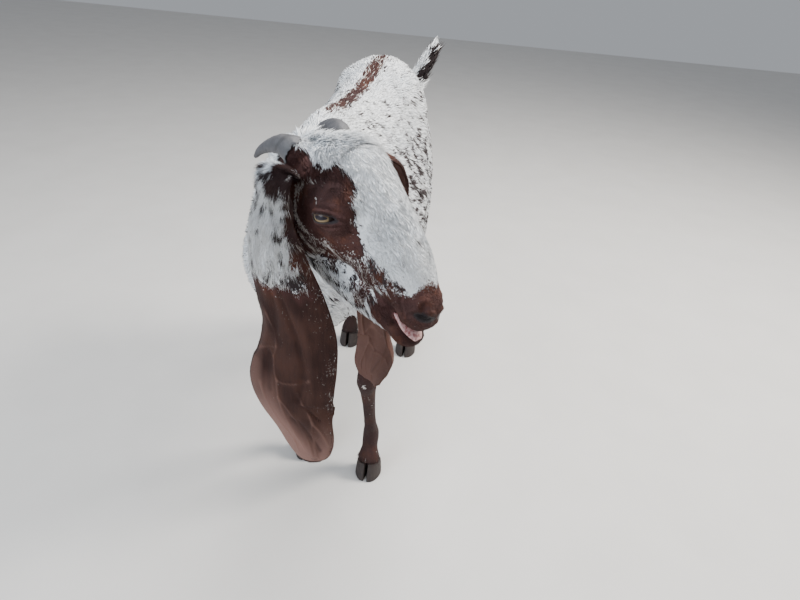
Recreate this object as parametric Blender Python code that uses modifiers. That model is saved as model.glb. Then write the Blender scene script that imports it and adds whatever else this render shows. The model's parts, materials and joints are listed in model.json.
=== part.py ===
"""Life-size still model of a standing long-eared, short-horned goat with its head turned to its left.

Metres, +Z up. The goat faces -Y and its left side is +X. The body is lofted whole, blended,
and then parted with thin cuts, so that neighbouring parts meet face to face.
"""

import math

import bmesh
import bpy
import numpy as np
from mathutils import Matrix, Vector

# Driving sizes
GAP = 0.0003                     # clearance where two parts meet
BODY_VOXEL = 0.0045
HEAD_VOXEL = 0.003
BODY_TRIANGLES = 4300
HEAD_TRIANGLES = 2500
EYE_RADIUS = 0.0145
LID_THICKNESS = 0.0024
SOCKET_CLEARANCE = 0.0008
EAR_THICKNESS = 0.0036

# Where the head sits: the poll between the horns, and how the head is turned
POLL = Vector((0.085, -0.262, 0.838))
HEAD_YAW = math.radians(56)
HEAD_PITCH = math.radians(21)
HEAD_ROLL = math.radians(-4)

# Trunk from chest to rump: y, x, top, bottom, half width, widening towards the back line
TRUNK = [
    (-0.128, -0.008, 0.590, 0.520, 0.030, 0.0),
    (-0.105, -0.009, 0.675, 0.455, 0.066, -0.05),
    (-0.055, -0.009, 0.752, 0.418, 0.089, -0.15),
    (0.000, -0.009, 0.792, 0.400, 0.098, -0.28),
    (0.070, -0.009, 0.800, 0.390, 0.109, -0.35),
    (0.150, -0.011, 0.790, 0.382, 0.128, -0.36),
    (0.240, -0.014, 0.786, 0.378, 0.152, -0.30),
    (0.320, -0.013, 0.795, 0.396, 0.150, -0.24),
    (0.380, -0.010, 0.815, 0.435, 0.134, -0.18),
    (0.430, -0.008, 0.827, 0.480, 0.117, 0.05),
    (0.480, -0.008, 0.818, 0.520, 0.104, 0.10),
    (0.525, -0.008, 0.780, 0.550, 0.084, 0.08),
    (0.558, -0.008, 0.715, 0.600, 0.045, 0.0),
]

# Neck from between the shoulders to the back of the skull: x, y, z, half width, half depth
NECK = [
    (-0.010, 0.030, 0.620, 0.085, 0.150),
    (-0.004, -0.050, 0.665, 0.072, 0.120),
    (0.014, -0.120, 0.708, 0.059, 0.094),
    (0.040, -0.185, 0.748, 0.052, 0.075),
    (0.062, -0.235, 0.778, 0.048, 0.063),
    (0.080, -0.266, 0.788, 0.038, 0.046),
]

# Left foreleg from shoulder blade to coronet: x, y, z, half width, half depth
FORELEG = [
    (0.056, 0.040, 0.745, 0.026, 0.050),
    (0.078, 0.005, 0.660, 0.038, 0.076),
    (0.092, -0.040, 0.565, 0.038, 0.070),
    (0.096, -0.005, 0.505, 0.037, 0.070),
    (0.096, 0.034, 0.445, 0.034, 0.054),
    (0.092, 0.030, 0.395, 0.029, 0.041),
    (0.088, 0.020, 0.345, 0.0235, 0.030),
    (0.086, 0.012, 0.308, 0.0210, 0.0235),
    (0.085, 0.008, 0.278, 0.0235, 0.0245),
    (0.084, 0.018, 0.246, 0.0185, 0.0195),
    (0.083, 0.032, 0.190, 0.0152, 0.0175),
    (0.082, 0.046, 0.130, 0.0155, 0.0175),
    (0.082, 0.053, 0.098, 0.0205, 0.0220),
    (0.082, 0.043, 0.070, 0.0195, 0.0190),
    (0.082, 0.033, 0.048, 0.0265, 0.0240),
    (0.082, 0.026, 0.030, 0.0260, 0.0230),
]

# Left hind leg from hip to coronet
HINDLEG = [
    (0.052, 0.440, 0.730, 0.043, 0.070),
    (0.074, 0.450, 0.640, 0.048, 0.100),
    (0.090, 0.435, 0.550, 0.046, 0.094),
    (0.101, 0.412, 0.478, 0.036, 0.060),
    (0.098, 0.458, 0.408, 0.029, 0.042),
    (0.093, 0.515, 0.345, 0.0205, 0.027),
    (0.089, 0.550, 0.298, 0.0205, 0.029),
    (0.087, 0.552, 0.258, 0.0180, 0.0225),
    (0.086, 0.548, 0.195, 0.0155, 0.0180),
    (0.085, 0.543, 0.132, 0.0158, 0.0180),
    (0.085, 0.538, 0.098, 0.0205, 0.0220),
    (0.085, 0.525, 0.070, 0.0195, 0.0190),
    (0.085, 0.514, 0.048, 0.0265, 0.0240),
    (0.085, 0.507, 0.030, 0.0260, 0.0230),
]

# Tendon behind the gaskin, ending in the point of the hock
HOCK_TENDON = [
    (0.095, 0.478, 0.500, 0.014, 0.016),
    (0.096, 0.502, 0.445, 0.013, 0.015),
    (0.095, 0.535, 0.385, 0.0095, 0.0110),
    (0.092, 0.571, 0.335, 0.0110, 0.0130),
    (0.089, 0.566, 0.300, 0.0130, 0.0160),
]

# How far each leg leans: across at the height of its top, across at its foot, back at its foot
LEAN_HEIGHT = 0.75
LEANS = {
    ("foreleg", 1): (-0.012, 0.017, 0.0),
    ("foreleg", -1): (0.000, 0.030, 0.024),
    ("hindleg", 1): (-0.010, 0.000, 0.0),
    ("hindleg", -1): (-0.010, 0.000, 0.0),
}

LEGS = {"foreleg": FORELEG, "hindleg": HINDLEG}

# Regions that belong to the left legs: x, y, z, half width, half depth down a fat tube
FORELEG_REGION = [
    (0.120, 0.000, 0.610, 0.052, 0.060),
    (0.112, 0.000, 0.520, 0.058, 0.085),
    (0.098, 0.010, 0.420, 0.054, 0.080),
    (0.085, 0.000, 0.250, 0.060, 0.070),
    (0.080, -0.010, 0.010, 0.070, 0.080),
]
HINDLEG_REGION = [
    (0.124, 0.452, 0.660, 0.052, 0.095),
    (0.114, 0.455, 0.530, 0.060, 0.125),
    (0.100, 0.465, 0.400, 0.060, 0.130),
    (0.090, 0.485, 0.200, 0.060, 0.120),
    (0.086, 0.490, 0.010, 0.070, 0.095),
]

# Skull and upper jaw in the head's own frame: forward, top, bottom, half width, widening upwards
SKULL = [
    (-0.030, -0.030, -0.085, 0.030, 0.0),
    (-0.012, -0.004, -0.095, 0.044, 0.0),
    (0.010, 0.014, -0.098, 0.050, 0.0),
    (0.035, 0.031, -0.097, 0.052, 0.0),
    (0.062, 0.042, -0.094, 0.053, -0.05),
    (0.085, 0.043, -0.092, 0.050, -0.10),
    (0.110, 0.035, -0.090, 0.045, -0.12),
    (0.135, 0.0255, -0.087, 0.039, -0.12),
    (0.160, 0.0145, -0.084, 0.035, -0.13),
    (0.185, 0.0025, -0.081, 0.0320, -0.14),
    (0.208, -0.0135, -0.080, 0.0260, -0.14),
    (0.225, -0.030, -0.081, 0.0205, -0.14),
    (0.236, -0.042, -0.079, 0.0150, -0.10),
    (0.243, -0.052, -0.071, 0.0080, 0.0),
]

# Lower jaw, open a little at the front
JAW = [
    (-0.005, -0.060, -0.102, 0.034, 0.0),
    (0.020, -0.060, -0.126, 0.041, 0.15),
    (0.055, -0.062, -0.136, 0.041, 0.20),
    (0.090, -0.070, -0.137, 0.037, 0.20),
    (0.130, -0.076, -0.135, 0.0300, 0.15),
    (0.165, -0.076, -0.129, 0.0250, 0.10),
    (0.190, -0.077, -0.1215, 0.0225, 0.10),
    (0.206, -0.086, -0.1155, 0.0210, 0.10),
    (0.219, -0.092, -0.1125, 0.0190, 0.10),
    (0.231, -0.095, -0.1105, 0.0160, 0.10),
    (0.239, -0.099, -0.1070, 0.0090, 0.0),
]

# Rounded masses of the head, made once for each side: forward, left, up, then three radii
HEAD_MASSES = {
    "cheek muscle": (0.048, 0.037, -0.066, 0.046, 0.022, 0.042),
    "orbit": (0.096, 0.0420, -0.0215, 0.030, 0.0175, 0.0235),
    "brow ridge": (0.090, 0.0345, -0.0010, 0.032, 0.0150, 0.0140),
    "nostril wing": (0.222, 0.0110, -0.0485, 0.018, 0.0105, 0.0150),
    "upper lip": (0.219, 0.0110, -0.0700, 0.023, 0.0120, 0.0120),
    "lower lip": (0.219, 0.0110, -0.102, 0.019, 0.0115, 0.0090),
    "horn boss": (0.010, 0.0310, -0.008, 0.0220, 0.0200, 0.0200),
    "ear boss": (0.018, 0.0440, -0.040, 0.0200, 0.0200, 0.0200),
}

# Eye: centre of the eyeball and the way it looks, both forward, left, up
EYE_CENTRE = (0.0908, 0.0480, -0.0244)
EYE_LOOK = Vector((0.24, 0.95, 0.16)).normalized()
EYE_OPENING = (0.034, 0.0140)    # width between the corners, height between the lids
EYE_SLANT = math.radians(29)     # the front corner lies higher, as the nose points down

# Horns in the head's own frame: forward, outward, up, half width, half depth
HORN_RIGHT = [
    (0.014, 0.026, -0.018, 0.0190, 0.0170),
    (0.003, 0.036, -0.007, 0.0190, 0.0160),
    (-0.012, 0.042, -0.008, 0.0150, 0.0125),
    (-0.026, 0.047, -0.018, 0.0112, 0.0095),
    (-0.036, 0.051, -0.031, 0.0078, 0.0070),
    (-0.040, 0.053, -0.043, 0.0035, 0.0032),
]
HORN_LEFT = [
    (0.014, 0.024, -0.016, 0.0180, 0.0160),
    (0.002, 0.033, -0.002, 0.0175, 0.0150),
    (-0.016, 0.037, 0.003, 0.0145, 0.0120),
    (-0.034, 0.038, -0.005, 0.0108, 0.0090),
    (-0.048, 0.041, -0.018, 0.0075, 0.0068),
    (-0.055, 0.044, -0.032, 0.0035, 0.0032),
]

# Ears: the outermost line down each ear from inside the head, with width across the sheet,
# how far the sheet curls (radians), its depth over its width, and the compass angle of its width
EAR_RIGHT = [
    ((0.0670, -0.3000, 0.8090), 0.0420, 2.4, 0.50, -33),
    ((0.0620, -0.3170, 0.8190), 0.0500, 2.4, 0.45, -33),
    ((0.0588, -0.3290, 0.8220), 0.0560, 2.4, 0.42, -32),
    ((0.0565, -0.3385, 0.8165), 0.0610, 2.4, 0.42, -31),
    ((0.0548, -0.3450, 0.8055), 0.0660, 2.5, 0.46, -30),
    ((0.0536, -0.3500, 0.7920), 0.0730, 2.5, 0.54, -27),
    ((0.0516, -0.3570, 0.7710), 0.0840, 2.5, 0.64, -24),
    ((0.0530, -0.3620, 0.7460), 0.0950, 2.3, 0.74, -20),
    ((0.0590, -0.3650, 0.7140), 0.1062, 2.0, 0.80, -17),
    ((0.0702, -0.3665, 0.6757), 0.1154, 1.7, 0.85, -15),
    ((0.0811, -0.3670, 0.6337), 0.1186, 1.5, 0.90, -14),
    ((0.0803, -0.3675, 0.5981), 0.1231, 1.4, 0.90, -14),
    ((0.0749, -0.3675, 0.5691), 0.1295, 1.35, 0.92, -14),
    ((0.0698, -0.3670, 0.5479), 0.1375, 1.3, 0.92, -14),
    ((0.0681, -0.3670, 0.5277), 0.1426, 1.3, 0.94, -14),
    ((0.0735, -0.3660, 0.5010), 0.1344, 1.3, 0.95, -14),
    ((0.0856, -0.3630, 0.4696), 0.1077, 1.25, 0.96, -14),
    ((0.0935, -0.3600, 0.4424), 0.0780, 1.2, 0.98, -14),
    ((0.0985, -0.3580, 0.4278), 0.0480, 1.1, 1.0, -14),
    ((0.1020, -0.3570, 0.4200), 0.0180, 1.0, 1.0, -14),
]
EAR_LEFT = [
    ((0.1060, -0.2340, 0.8050), 0.0420, 2.4, 0.50, -33),
    ((0.1240, -0.2220, 0.8150), 0.0520, 2.4, 0.45, -34),
    ((0.1410, -0.2110, 0.8170), 0.0600, 2.4, 0.42, -35),
    ((0.1540, -0.2040, 0.8090), 0.0660, 2.4, 0.42, -36),
    ((0.1620, -0.2000, 0.7960), 0.0720, 2.5, 0.46, -38),
    ((0.1670, -0.1975, 0.7800), 0.0780, 2.5, 0.56, -40),
    ((0.1680, -0.1970, 0.7500), 0.0860, 2.5, 0.68, -42),
    ((0.1640, -0.1990, 0.7050), 0.0880, 2.5, 0.76, -42),
    ((0.1560, -0.2020, 0.6500), 0.0880, 2.45, 0.82, -42),
    ((0.1560, -0.2035, 0.6000), 0.0900, 2.4, 0.84, -42),
    ((0.1610, -0.2045, 0.5600), 0.0960, 2.3, 0.86, -42),
    ((0.1660, -0.2060, 0.5325), 0.1040, 1.9, 0.88, -42),
    ((0.1605, -0.2070, 0.5137), 0.1000, 1.6, 0.90, -42),
    ((0.1545, -0.2080, 0.4979), 0.0870, 1.45, 0.92, -42),
    ((0.1485, -0.2090, 0.4817), 0.0680, 1.3, 0.94, -42),
    ((0.1470, -0.2100, 0.4707), 0.0480, 1.2, 0.96, -42),
    ((0.1485, -0.2110, 0.4633), 0.0300, 1.1, 0.98, -42),
    ((0.1490, -0.2110, 0.4590), 0.0140, 1.0, 1.0, -42),
]

# Tail, raised and carried to the left: x, y, z, half width, half depth
TAIL = [
    (0.000, 0.525, 0.725, 0.022, 0.018),
    (0.018, 0.556, 0.726, 0.019, 0.015),
    (0.042, 0.572, 0.750, 0.0175, 0.0120),
    (0.062, 0.582, 0.784, 0.0150, 0.0090),
    (0.078, 0.588, 0.818, 0.0090, 0.0060),
]
TAIL_TIP = Vector((0.093, 0.592, 0.855))
TAIL_LOCKS = 40
LOCK_REACH = (0.030, 0.046)
LOCK_HALF_WIDTH = 0.0058
LOCK_HALF_THICKNESS = 0.0026
LOCK_BOW = 0.003
LOCK_SIDES = 5
LOCK_TAPER = ((0.0, 0.75), (0.3, 1.0), (0.65, 0.7), (0.9, 0.28))    # share from root to tip, size

# Planes between parts: a point and the way out of the body
NECK_TOP = (0.053, -0.214, 0.766)
NECK_TOP_NORMAL = (0.330, -0.810, 0.485)
NECK_BASE = (0.004, -0.075, 0.680)
NECK_BASE_NORMAL = (0.100, -0.850, 0.515)
KNEE = (0.084, -0.002, 0.266)
HOCK = (0.088, 0.530, 0.285)
MOUTH_CORNER = (0.165, 0.0, -0.082)
MOUTH_DOWN = (0.0, 0.113, -1.0)  # square to the line of the mouth: left, back, up

# Hoof claws: toe to heel, outer half width, inner half width, height at toe and at heel
CLAW_LENGTH = 0.056
CLAW_OUTER = 0.0235
CLAW_INNER = 0.0035
CLAW_CLEFT = 0.0050              # from the foot's middle to the claw's own centre line
CLAW_TOE_HEIGHT = 0.047
CLAW_HEEL_HEIGHT = 0.031
CLAW_SIDES = 18

COLOURS = {
    "coat_white": ((0.80, 0.79, 0.76), 0.85),
    "coat_brown": ((0.16, 0.06, 0.035), 0.80),
    "horn": ((0.20, 0.19, 0.19), 0.55),
    "hoof": ((0.07, 0.06, 0.055), 0.60),
    "eye": ((0.62, 0.45, 0.16), 0.10),
    "inner_lip": ((0.75, 0.48, 0.46), 0.35),
}


def clear_scene():
    for old in list(bpy.data.objects):
        bpy.data.objects.remove(old, do_unlink=True)


def make_material(name, colour, roughness):
    made = bpy.data.materials.new(name)
    made.use_nodes = True
    shader = made.node_tree.nodes["Principled BSDF"]
    shader.inputs["Base Color"].default_value = (*colour, 1.0)
    shader.inputs["Roughness"].default_value = roughness
    shader.inputs["Metallic"].default_value = 0.0
    return made


def spline(rows, steps):
    """Rows of numbers with steps extra rows between each pair, on one smooth curve through them all."""
    rows = np.array(rows, float)
    padded = np.vstack([2 * rows[0] - rows[1], rows, 2 * rows[-1] - rows[-2]])
    dense = []
    for i in range(len(rows) - 1):
        a, b, c, d = padded[i:i + 4]
        for t in np.arange(steps) / steps:
            dense.append(0.5 * (2 * b + (c - a) * t + (2 * a - 5 * b + 4 * c - d) * t ** 2
                                + (3 * b - a - 3 * c + d) * t ** 3))
    return np.vstack([dense, rows[-1]])


def loft(rings, transform=None):
    """A closed bmesh through rings of equal count, each end closed by a fan."""
    made = bmesh.new()
    grid = [[made.verts.new(p) for p in ring] for ring in rings]
    count = len(grid[0])
    for lower, upper in zip(grid, grid[1:]):
        for k in range(count):
            n = (k + 1) % count
            made.faces.new((lower[k], lower[n], upper[n], upper[k]))
    for end, ring in ((0, grid[0]), (1, grid[-1])):
        middle = made.verts.new(sum((v.co for v in ring), Vector()) / count)
        for k in range(count):
            n = (k + 1) % count
            made.faces.new((ring[n], ring[k], middle) if end == 0 else (ring[k], ring[n], middle))
    if transform is not None:
        bmesh.ops.transform(made, matrix=transform, verts=made.verts)
    bmesh.ops.recalc_face_normals(made, faces=made.faces)
    return made


def oval(centre, side, up, half_width, half_height, widening=0.0, sides=28):
    """One ring: an oval whose upper half may be wider or narrower than its lower half."""
    points = []
    for k in range(sides):
        turn = 2 * math.pi * k / sides
        across = half_width * math.sin(turn) * (1 + widening * math.cos(turn))
        points.append(centre + side * across + up * (half_height * math.cos(turn)))
    return points


def barrel(rows, forward_sign=1, steps=4, transform=None):
    """A loft of upright sections along Y: place, shift across, top, bottom, half width and widening."""
    rings = []
    for place, shift, top, bottom, half_width, widening in spline(rows, steps):
        centre = Vector((shift, forward_sign * place, (top + bottom) / 2))
        rings.append(oval(centre, Vector((1, 0, 0)), Vector((0, 0, 1)), max(half_width, 0.004),
                          (top - bottom) / 2, widening))
    return loft(rings, transform)


def limb(rows, side=Vector((1, 0, 0)), steps=4, sides=20, transform=None):
    """A tapered tube along rows of x, y, z, half width and half depth."""
    dense = spline(rows, steps)
    places = [Vector(row[:3]) for row in dense]
    rings = []
    for i, row in enumerate(dense):
        ahead, behind = places[min(i + 1, len(places) - 1)], places[max(i - 1, 0)]
        along = (ahead - behind).normalized()
        across = (side - along * side.dot(along)).normalized()
        rings.append(oval(places[i], across, along.cross(across), row[3], row[4], 0.0, sides))
    return loft(rings, transform)


def stance(rows, leg, flip):
    """The rows of one leg on its own side (1 left, -1 right), leaning across as that leg stands."""
    top, foot, back = LEANS[leg, flip]
    return [(flip * x + foot + (top - foot) * z / LEAN_HEIGHT, y + back * (1 - z / LEAN_HEIGHT), z,
             half_width, half_depth) for x, y, z, half_width, half_depth in rows]


def ball(centre, radii, transform=None, segments=24, turn=None):
    """An ellipsoid; turn is an optional rotation about its own centre."""
    made = bmesh.new()
    bmesh.ops.create_uvsphere(made, u_segments=segments, v_segments=segments // 2, radius=1.0)
    matrix = Matrix.Translation(centre) @ (turn or Matrix.Identity(4)) @ Matrix.Diagonal((*radii, 1.0))
    bmesh.ops.transform(made, matrix=(transform or Matrix.Identity(4)) @ matrix, verts=made.verts)
    return made


def as_object(name, source, collection):
    """The bmesh as a named object in a collection."""
    data = bpy.data.meshes.new(name)
    source.to_mesh(data)
    source.free()
    made = bpy.data.objects.new(name, data)
    collection.objects.link(made)
    return made


def joined(pieces, name, collection):
    """Several bmeshes as one object, still as separate shells."""
    whole = bmesh.new()
    for piece in pieces:
        data = bpy.data.meshes.new(name)
        piece.to_mesh(data)
        piece.free()
        whole.from_mesh(data)
        bpy.data.meshes.remove(data)
    return as_object(name, whole, collection)


def apply_modifiers(target):
    """Replaces the object's mesh by what its modifiers make of it."""
    evaluated = target.evaluated_get(bpy.context.evaluated_depsgraph_get())
    made = bpy.data.meshes.new_from_object(evaluated)
    target.modifiers.clear()
    old, target.data = target.data, made
    bpy.data.meshes.remove(old)


def blend(target, voxel, smooth_steps):
    """Fuses overlapping shells into one skin and smooths the joins."""
    remesh = target.modifiers.new("fuse", "REMESH")
    remesh.mode = "VOXEL"
    remesh.voxel_size = voxel
    smooth = target.modifiers.new("smooth", "SMOOTH")
    smooth.factor = 0.5
    smooth.iterations = smooth_steps
    apply_modifiers(target)


def thin_out(target, triangles):
    """Reduces the mesh to about that many triangles."""
    now = sum(len(p.vertices) - 2 for p in target.data.polygons)
    reduce = target.modifiers.new("reduce", "DECIMATE")
    reduce.ratio = min(1.0, triangles / now)
    apply_modifiers(target)


def dab(target, centre, radius, height):
    """Raises or sinks the skin around a point, fading out at the radius."""
    count = len(target.data.vertices)
    places = np.empty(count * 3, np.float32)
    target.data.vertices.foreach_get("co", places)
    normals = np.empty(count * 3, np.float32)
    target.data.vertex_normals.foreach_get("vector", normals)
    places = places.reshape(-1, 3)
    share = np.linalg.norm(places - np.array(centre, np.float32), axis=1) / radius
    lift = height * np.clip(1 - share * share, 0, None) ** 2
    places += normals.reshape(-1, 3) * lift[:, None]
    target.data.vertices.foreach_set("co", places.ravel())
    target.data.update()


def boolean(target, cutter, operation="DIFFERENCE"):
    """Cuts or joins the target with a cutter made of a bmesh, and keeps the largest closed surface."""
    tool = as_object("cutter", cutter, bpy.data.collections["cutters"])
    tool.hide_render = True
    tool.display_type = "WIRE"
    step = target.modifiers.new("cut", "BOOLEAN")
    step.operation = operation
    step.object = tool
    step.solver = "EXACT"
    apply_modifiers(target)
    bpy.data.objects.remove(tool, do_unlink=True)
    keep_largest(target)


def keep_largest(target):
    """Drops every loose scrap but the largest closed surface, and closes doubled points."""
    source = bmesh.new()
    source.from_mesh(target.data)
    bmesh.ops.remove_doubles(source, verts=source.verts, dist=1e-6)
    bmesh.ops.dissolve_degenerate(source, edges=source.edges, dist=1e-6)
    groups, seen = [], set()
    for start in source.faces:
        if start in seen:
            continue
        group, waiting = [], [start]
        seen.add(start)
        while waiting:
            face = waiting.pop()
            group.append(face)
            for edge in face.edges:
                for other in edge.link_faces:
                    if other not in seen:
                        seen.add(other)
                        waiting.append(other)
        groups.append(group)
    groups.sort(key=lambda group: sum(face.calc_area() for face in group))
    for group in groups[:-1]:
        bmesh.ops.delete(source, geom=group, context="FACES")
    bmesh.ops.triangulate(source, faces=source.faces)
    source.to_mesh(target.data)
    source.free()


def swollen(source, amount):
    """A copy of a closed shape with every face moved outwards by that amount."""
    made = source.copy()
    made.normal_update()
    moves = [vertex.normal * amount * vertex.calc_shell_factor() for vertex in made.verts]
    for vertex, move in zip(made.verts, moves):
        vertex.co += move
    return made


def half_space(point, normal, size=0.6):
    """A box that starts at the plane through point and runs out along normal."""
    normal = Vector(normal).normalized()
    turn = normal.to_track_quat("Z", "Y").to_matrix().to_4x4()
    made = bmesh.new()
    bmesh.ops.create_cube(made, size=size)
    centre = Vector(point) + normal * (size / 2)
    bmesh.ops.transform(made, matrix=Matrix.Translation(centre) @ turn, verts=made.verts)
    return made


def carve(whole, region, name, collection):
    """Takes what lies inside a region off the whole as a part of its own, a gap apart."""
    part = bpy.data.objects.new(name, whole.data.copy())
    collection.objects.link(part)
    boolean(part, region.copy(), "INTERSECT")
    boolean(whole, swollen(region, GAP))
    region.free()
    return part


def seat(part, carrier):
    """Cuts a part back to the surface that it grows from, a gap apart."""
    ground = bmesh.new()
    ground.from_mesh(carrier.data)
    boolean(part, swollen(ground, GAP))
    ground.free()


def finish(target, material):
    """Gives a finished part its material and smooth shading."""
    target.data.materials.clear()
    target.data.materials.append(material)
    target.data.shade_smooth()
    target.data.set_sharp_from_angle(angle=math.radians(50))


def head_matrix():
    """From the head's own frame, where it faces -Y with the poll at the origin, to the body's."""
    forward = Vector((math.sin(HEAD_YAW) * math.cos(HEAD_PITCH),
                      -math.cos(HEAD_YAW) * math.cos(HEAD_PITCH), -math.sin(HEAD_PITCH)))
    left = Vector((math.cos(HEAD_YAW), math.sin(HEAD_YAW), 0.0))
    up = forward.cross(left)
    tilted_left = left * math.cos(HEAD_ROLL) + up * math.sin(HEAD_ROLL)
    tilted_up = up * math.cos(HEAD_ROLL) - left * math.sin(HEAD_ROLL)
    turn = Matrix((tilted_left, -forward, tilted_up)).transposed().to_4x4()
    return Matrix.Translation(POLL) @ turn


def head_place(forward, left, up):
    """A point given in the head's own sizes, as a point of the body's frame."""
    return head_matrix() @ Vector((left, -forward, up))


def make_body(work):
    """Trunk, neck and legs as one blended skin, cut to a flat at each coronet."""
    pieces = [barrel(TRUNK), limb(NECK, sides=28)]
    for flip in (1, -1):
        pieces.append(limb(stance(HOCK_TENDON, "hindleg", flip)))
        for leg, rows in LEGS.items():
            rows = stance(rows, leg, flip)
            pieces.append(limb(rows))
            x, y, z = rows[-4][:3]
            for side in (-1, 1):
                pieces.append(ball((x + side * 0.012, y + 0.021, z - 0.006), (0.0075, 0.0085, 0.0110)))
        pieces.append(ball((flip * 0.022 - 0.010, 0.392, 0.418), (0.026, 0.050, 0.042)))
        pieces.append(limb([(flip * 0.024 - 0.010, 0.378, 0.400, 0.011, 0.011),
                            (flip * 0.028 - 0.010, 0.370, 0.372, 0.009, 0.009),
                            (flip * 0.030 - 0.010, 0.366, 0.352, 0.006, 0.006)], sides=12,
                           side=Vector((0, 1, 0))))
    body = joined(pieces, "body", work)
    blend(body, BODY_VOXEL, 7)
    for flip in (-1, 1):
        dab(body, (flip * 0.078 - 0.010, 0.405, 0.785), 0.045, 0.008)
        dab(body, (flip * 0.045 - 0.008, 0.548, 0.700), 0.045, 0.010)
        dab(body, (flip * 0.118 - 0.012, 0.345, 0.700), 0.085, -0.012)
        dab(body, (flip * 0.100 - 0.010, -0.060, 0.560), 0.050, 0.005)
        dab(body, (flip * 0.108 - 0.010, 0.085, 0.640), 0.070, -0.006)
        dab(body, (flip * 0.072 - 0.008, -0.075, 0.640), 0.050, -0.008)
    thin_out(body, BODY_TRIANGLES)
    return body


def coronet_plane(x, y):
    """Point and normal of the sloping plane between a foot's flesh and its claws."""
    slope = (CLAW_TOE_HEIGHT - CLAW_HEEL_HEIGHT) / CLAW_LENGTH
    middle = Vector((x, y, (CLAW_TOE_HEIGHT + CLAW_HEEL_HEIGHT) / 2))
    return middle, Vector((0, slope, 1)).normalized()


def trim_feet(body):
    """Cuts each foot off flat where its claws begin."""
    for leg, rows in LEGS.items():
        for flip in (-1, 1):
            x, y = stance(rows, leg, flip)[-1][:2]
            point, normal = coronet_plane(x, y)
            boolean(body, half_space(point + normal * GAP / 2, -normal, 0.11))


def claw(x, y, outward):
    """One hoof claw: flat sole on the floor, top on the coronet plane."""
    point, normal = coronet_plane(x, y)
    rings = []
    for share, scale, back in ((0.0, 0.97, 0.0), (0.05, 1.0, 0.0), (0.5, 0.95, 0.0030), (1.0, 0.86, 0.0065)):
        ring = []
        for k in range(CLAW_SIDES):
            turn = 2 * math.pi * k / CLAW_SIDES
            half = CLAW_OUTER if math.sin(turn) > 0 else CLAW_INNER
            across = half * abs(math.sin(turn)) ** 0.8 * (1 if math.sin(turn) > 0 else -1)
            along = CLAW_LENGTH / 2 * math.cos(turn)
            narrow = 1 - 0.22 * math.cos(turn)
            px = x + outward * (CLAW_CLEFT + across * narrow * scale)
            py = y - along * scale + back
            top = point.z - (py - point.y) * normal.y / normal.z - GAP / 2
            ring.append(Vector((px, py, top * share)))
        rings.append(ring)
    return loft(rings)


def make_head(work):
    """Skull, jaws and face as one blended skin with sockets, lids, nostrils and parted lips."""
    place = head_matrix()
    pieces = [barrel([(row[0], 0.0, *row[1:]) for row in rows], -1, transform=place)
              for rows in (SKULL, JAW)]
    for flip in (-1, 1):
        for forward, left, up, *radii in HEAD_MASSES.values():
            pieces.append(ball((flip * left, -forward, up), (radii[1], radii[0], radii[2]), place))
    pieces.append(limb(NECK[-4:], sides=28))
    head = joined(pieces, "head", work)
    blend(head, HEAD_VOXEL, 5)
    for flip in (-1, 1):
        dab(head, head_place(0.062, flip * 0.050, -0.012), 0.026, -0.005)
        dab(head, head_place(0.135, flip * 0.040, -0.040), 0.035, -0.005)
        dab(head, head_place(0.130, flip * 0.034, -0.085), 0.030, -0.004)
    thin_out(head, HEAD_TRIANGLES)
    return head


def eye_frame(flip):
    """Centre, outward direction and along-the-slit direction of one eye, in the body's frame."""
    forward, left, up = EYE_CENTRE
    look = Vector((flip * EYE_LOOK.y, -EYE_LOOK.x, EYE_LOOK.z))
    ahead = Vector((0, -math.cos(EYE_SLANT), math.sin(EYE_SLANT)))
    ahead = (ahead - look * ahead.dot(look)).normalized()
    turn = head_matrix().to_3x3()
    return head_place(forward, flip * left, up), turn @ look, turn @ ahead


def eye_details(head):
    """Adds the lids over each eyeball and opens the slit and the socket behind it."""
    for flip in (-1, 1):
        centre, look, ahead = eye_frame(flip)
        lids = ball(centre, (EYE_RADIUS + LID_THICKNESS,) * 3, segments=22)
        boolean(head, lids, "UNION")
        upward = look.cross(ahead)
        half_width, half_height = EYE_OPENING[0] / 2, EYE_OPENING[1] / 2
        rings = []
        for depth in (0.004, EYE_RADIUS + 0.012):
            ring = []
            for k in range(20):
                turn = 2 * math.pi * k / 20
                height = half_height * math.sin(turn) * (1 - 0.25 * math.cos(turn) ** 2)
                ring.append(centre + look * depth + ahead * (half_width * math.cos(turn))
                            + upward * height)
            rings.append(ring)
        boolean(head, loft(rings))
        boolean(head, ball(centre, (EYE_RADIUS + SOCKET_CLEARANCE,) * 3, segments=20))


def nostril_details(head):
    """Sinks a comma-shaped pit into each nostril wing."""
    for flip in (-1, 1):
        turn = Matrix.Rotation(math.radians(flip * 28), 4, "Z") @ Matrix.Rotation(math.radians(32), 4, "X")
        pit = ball((flip * 0.0165, -0.2350, -0.0460), (0.0048, 0.0135, 0.0062), head_matrix(),
                   segments=16, turn=turn)
        boolean(head, pit)


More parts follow.
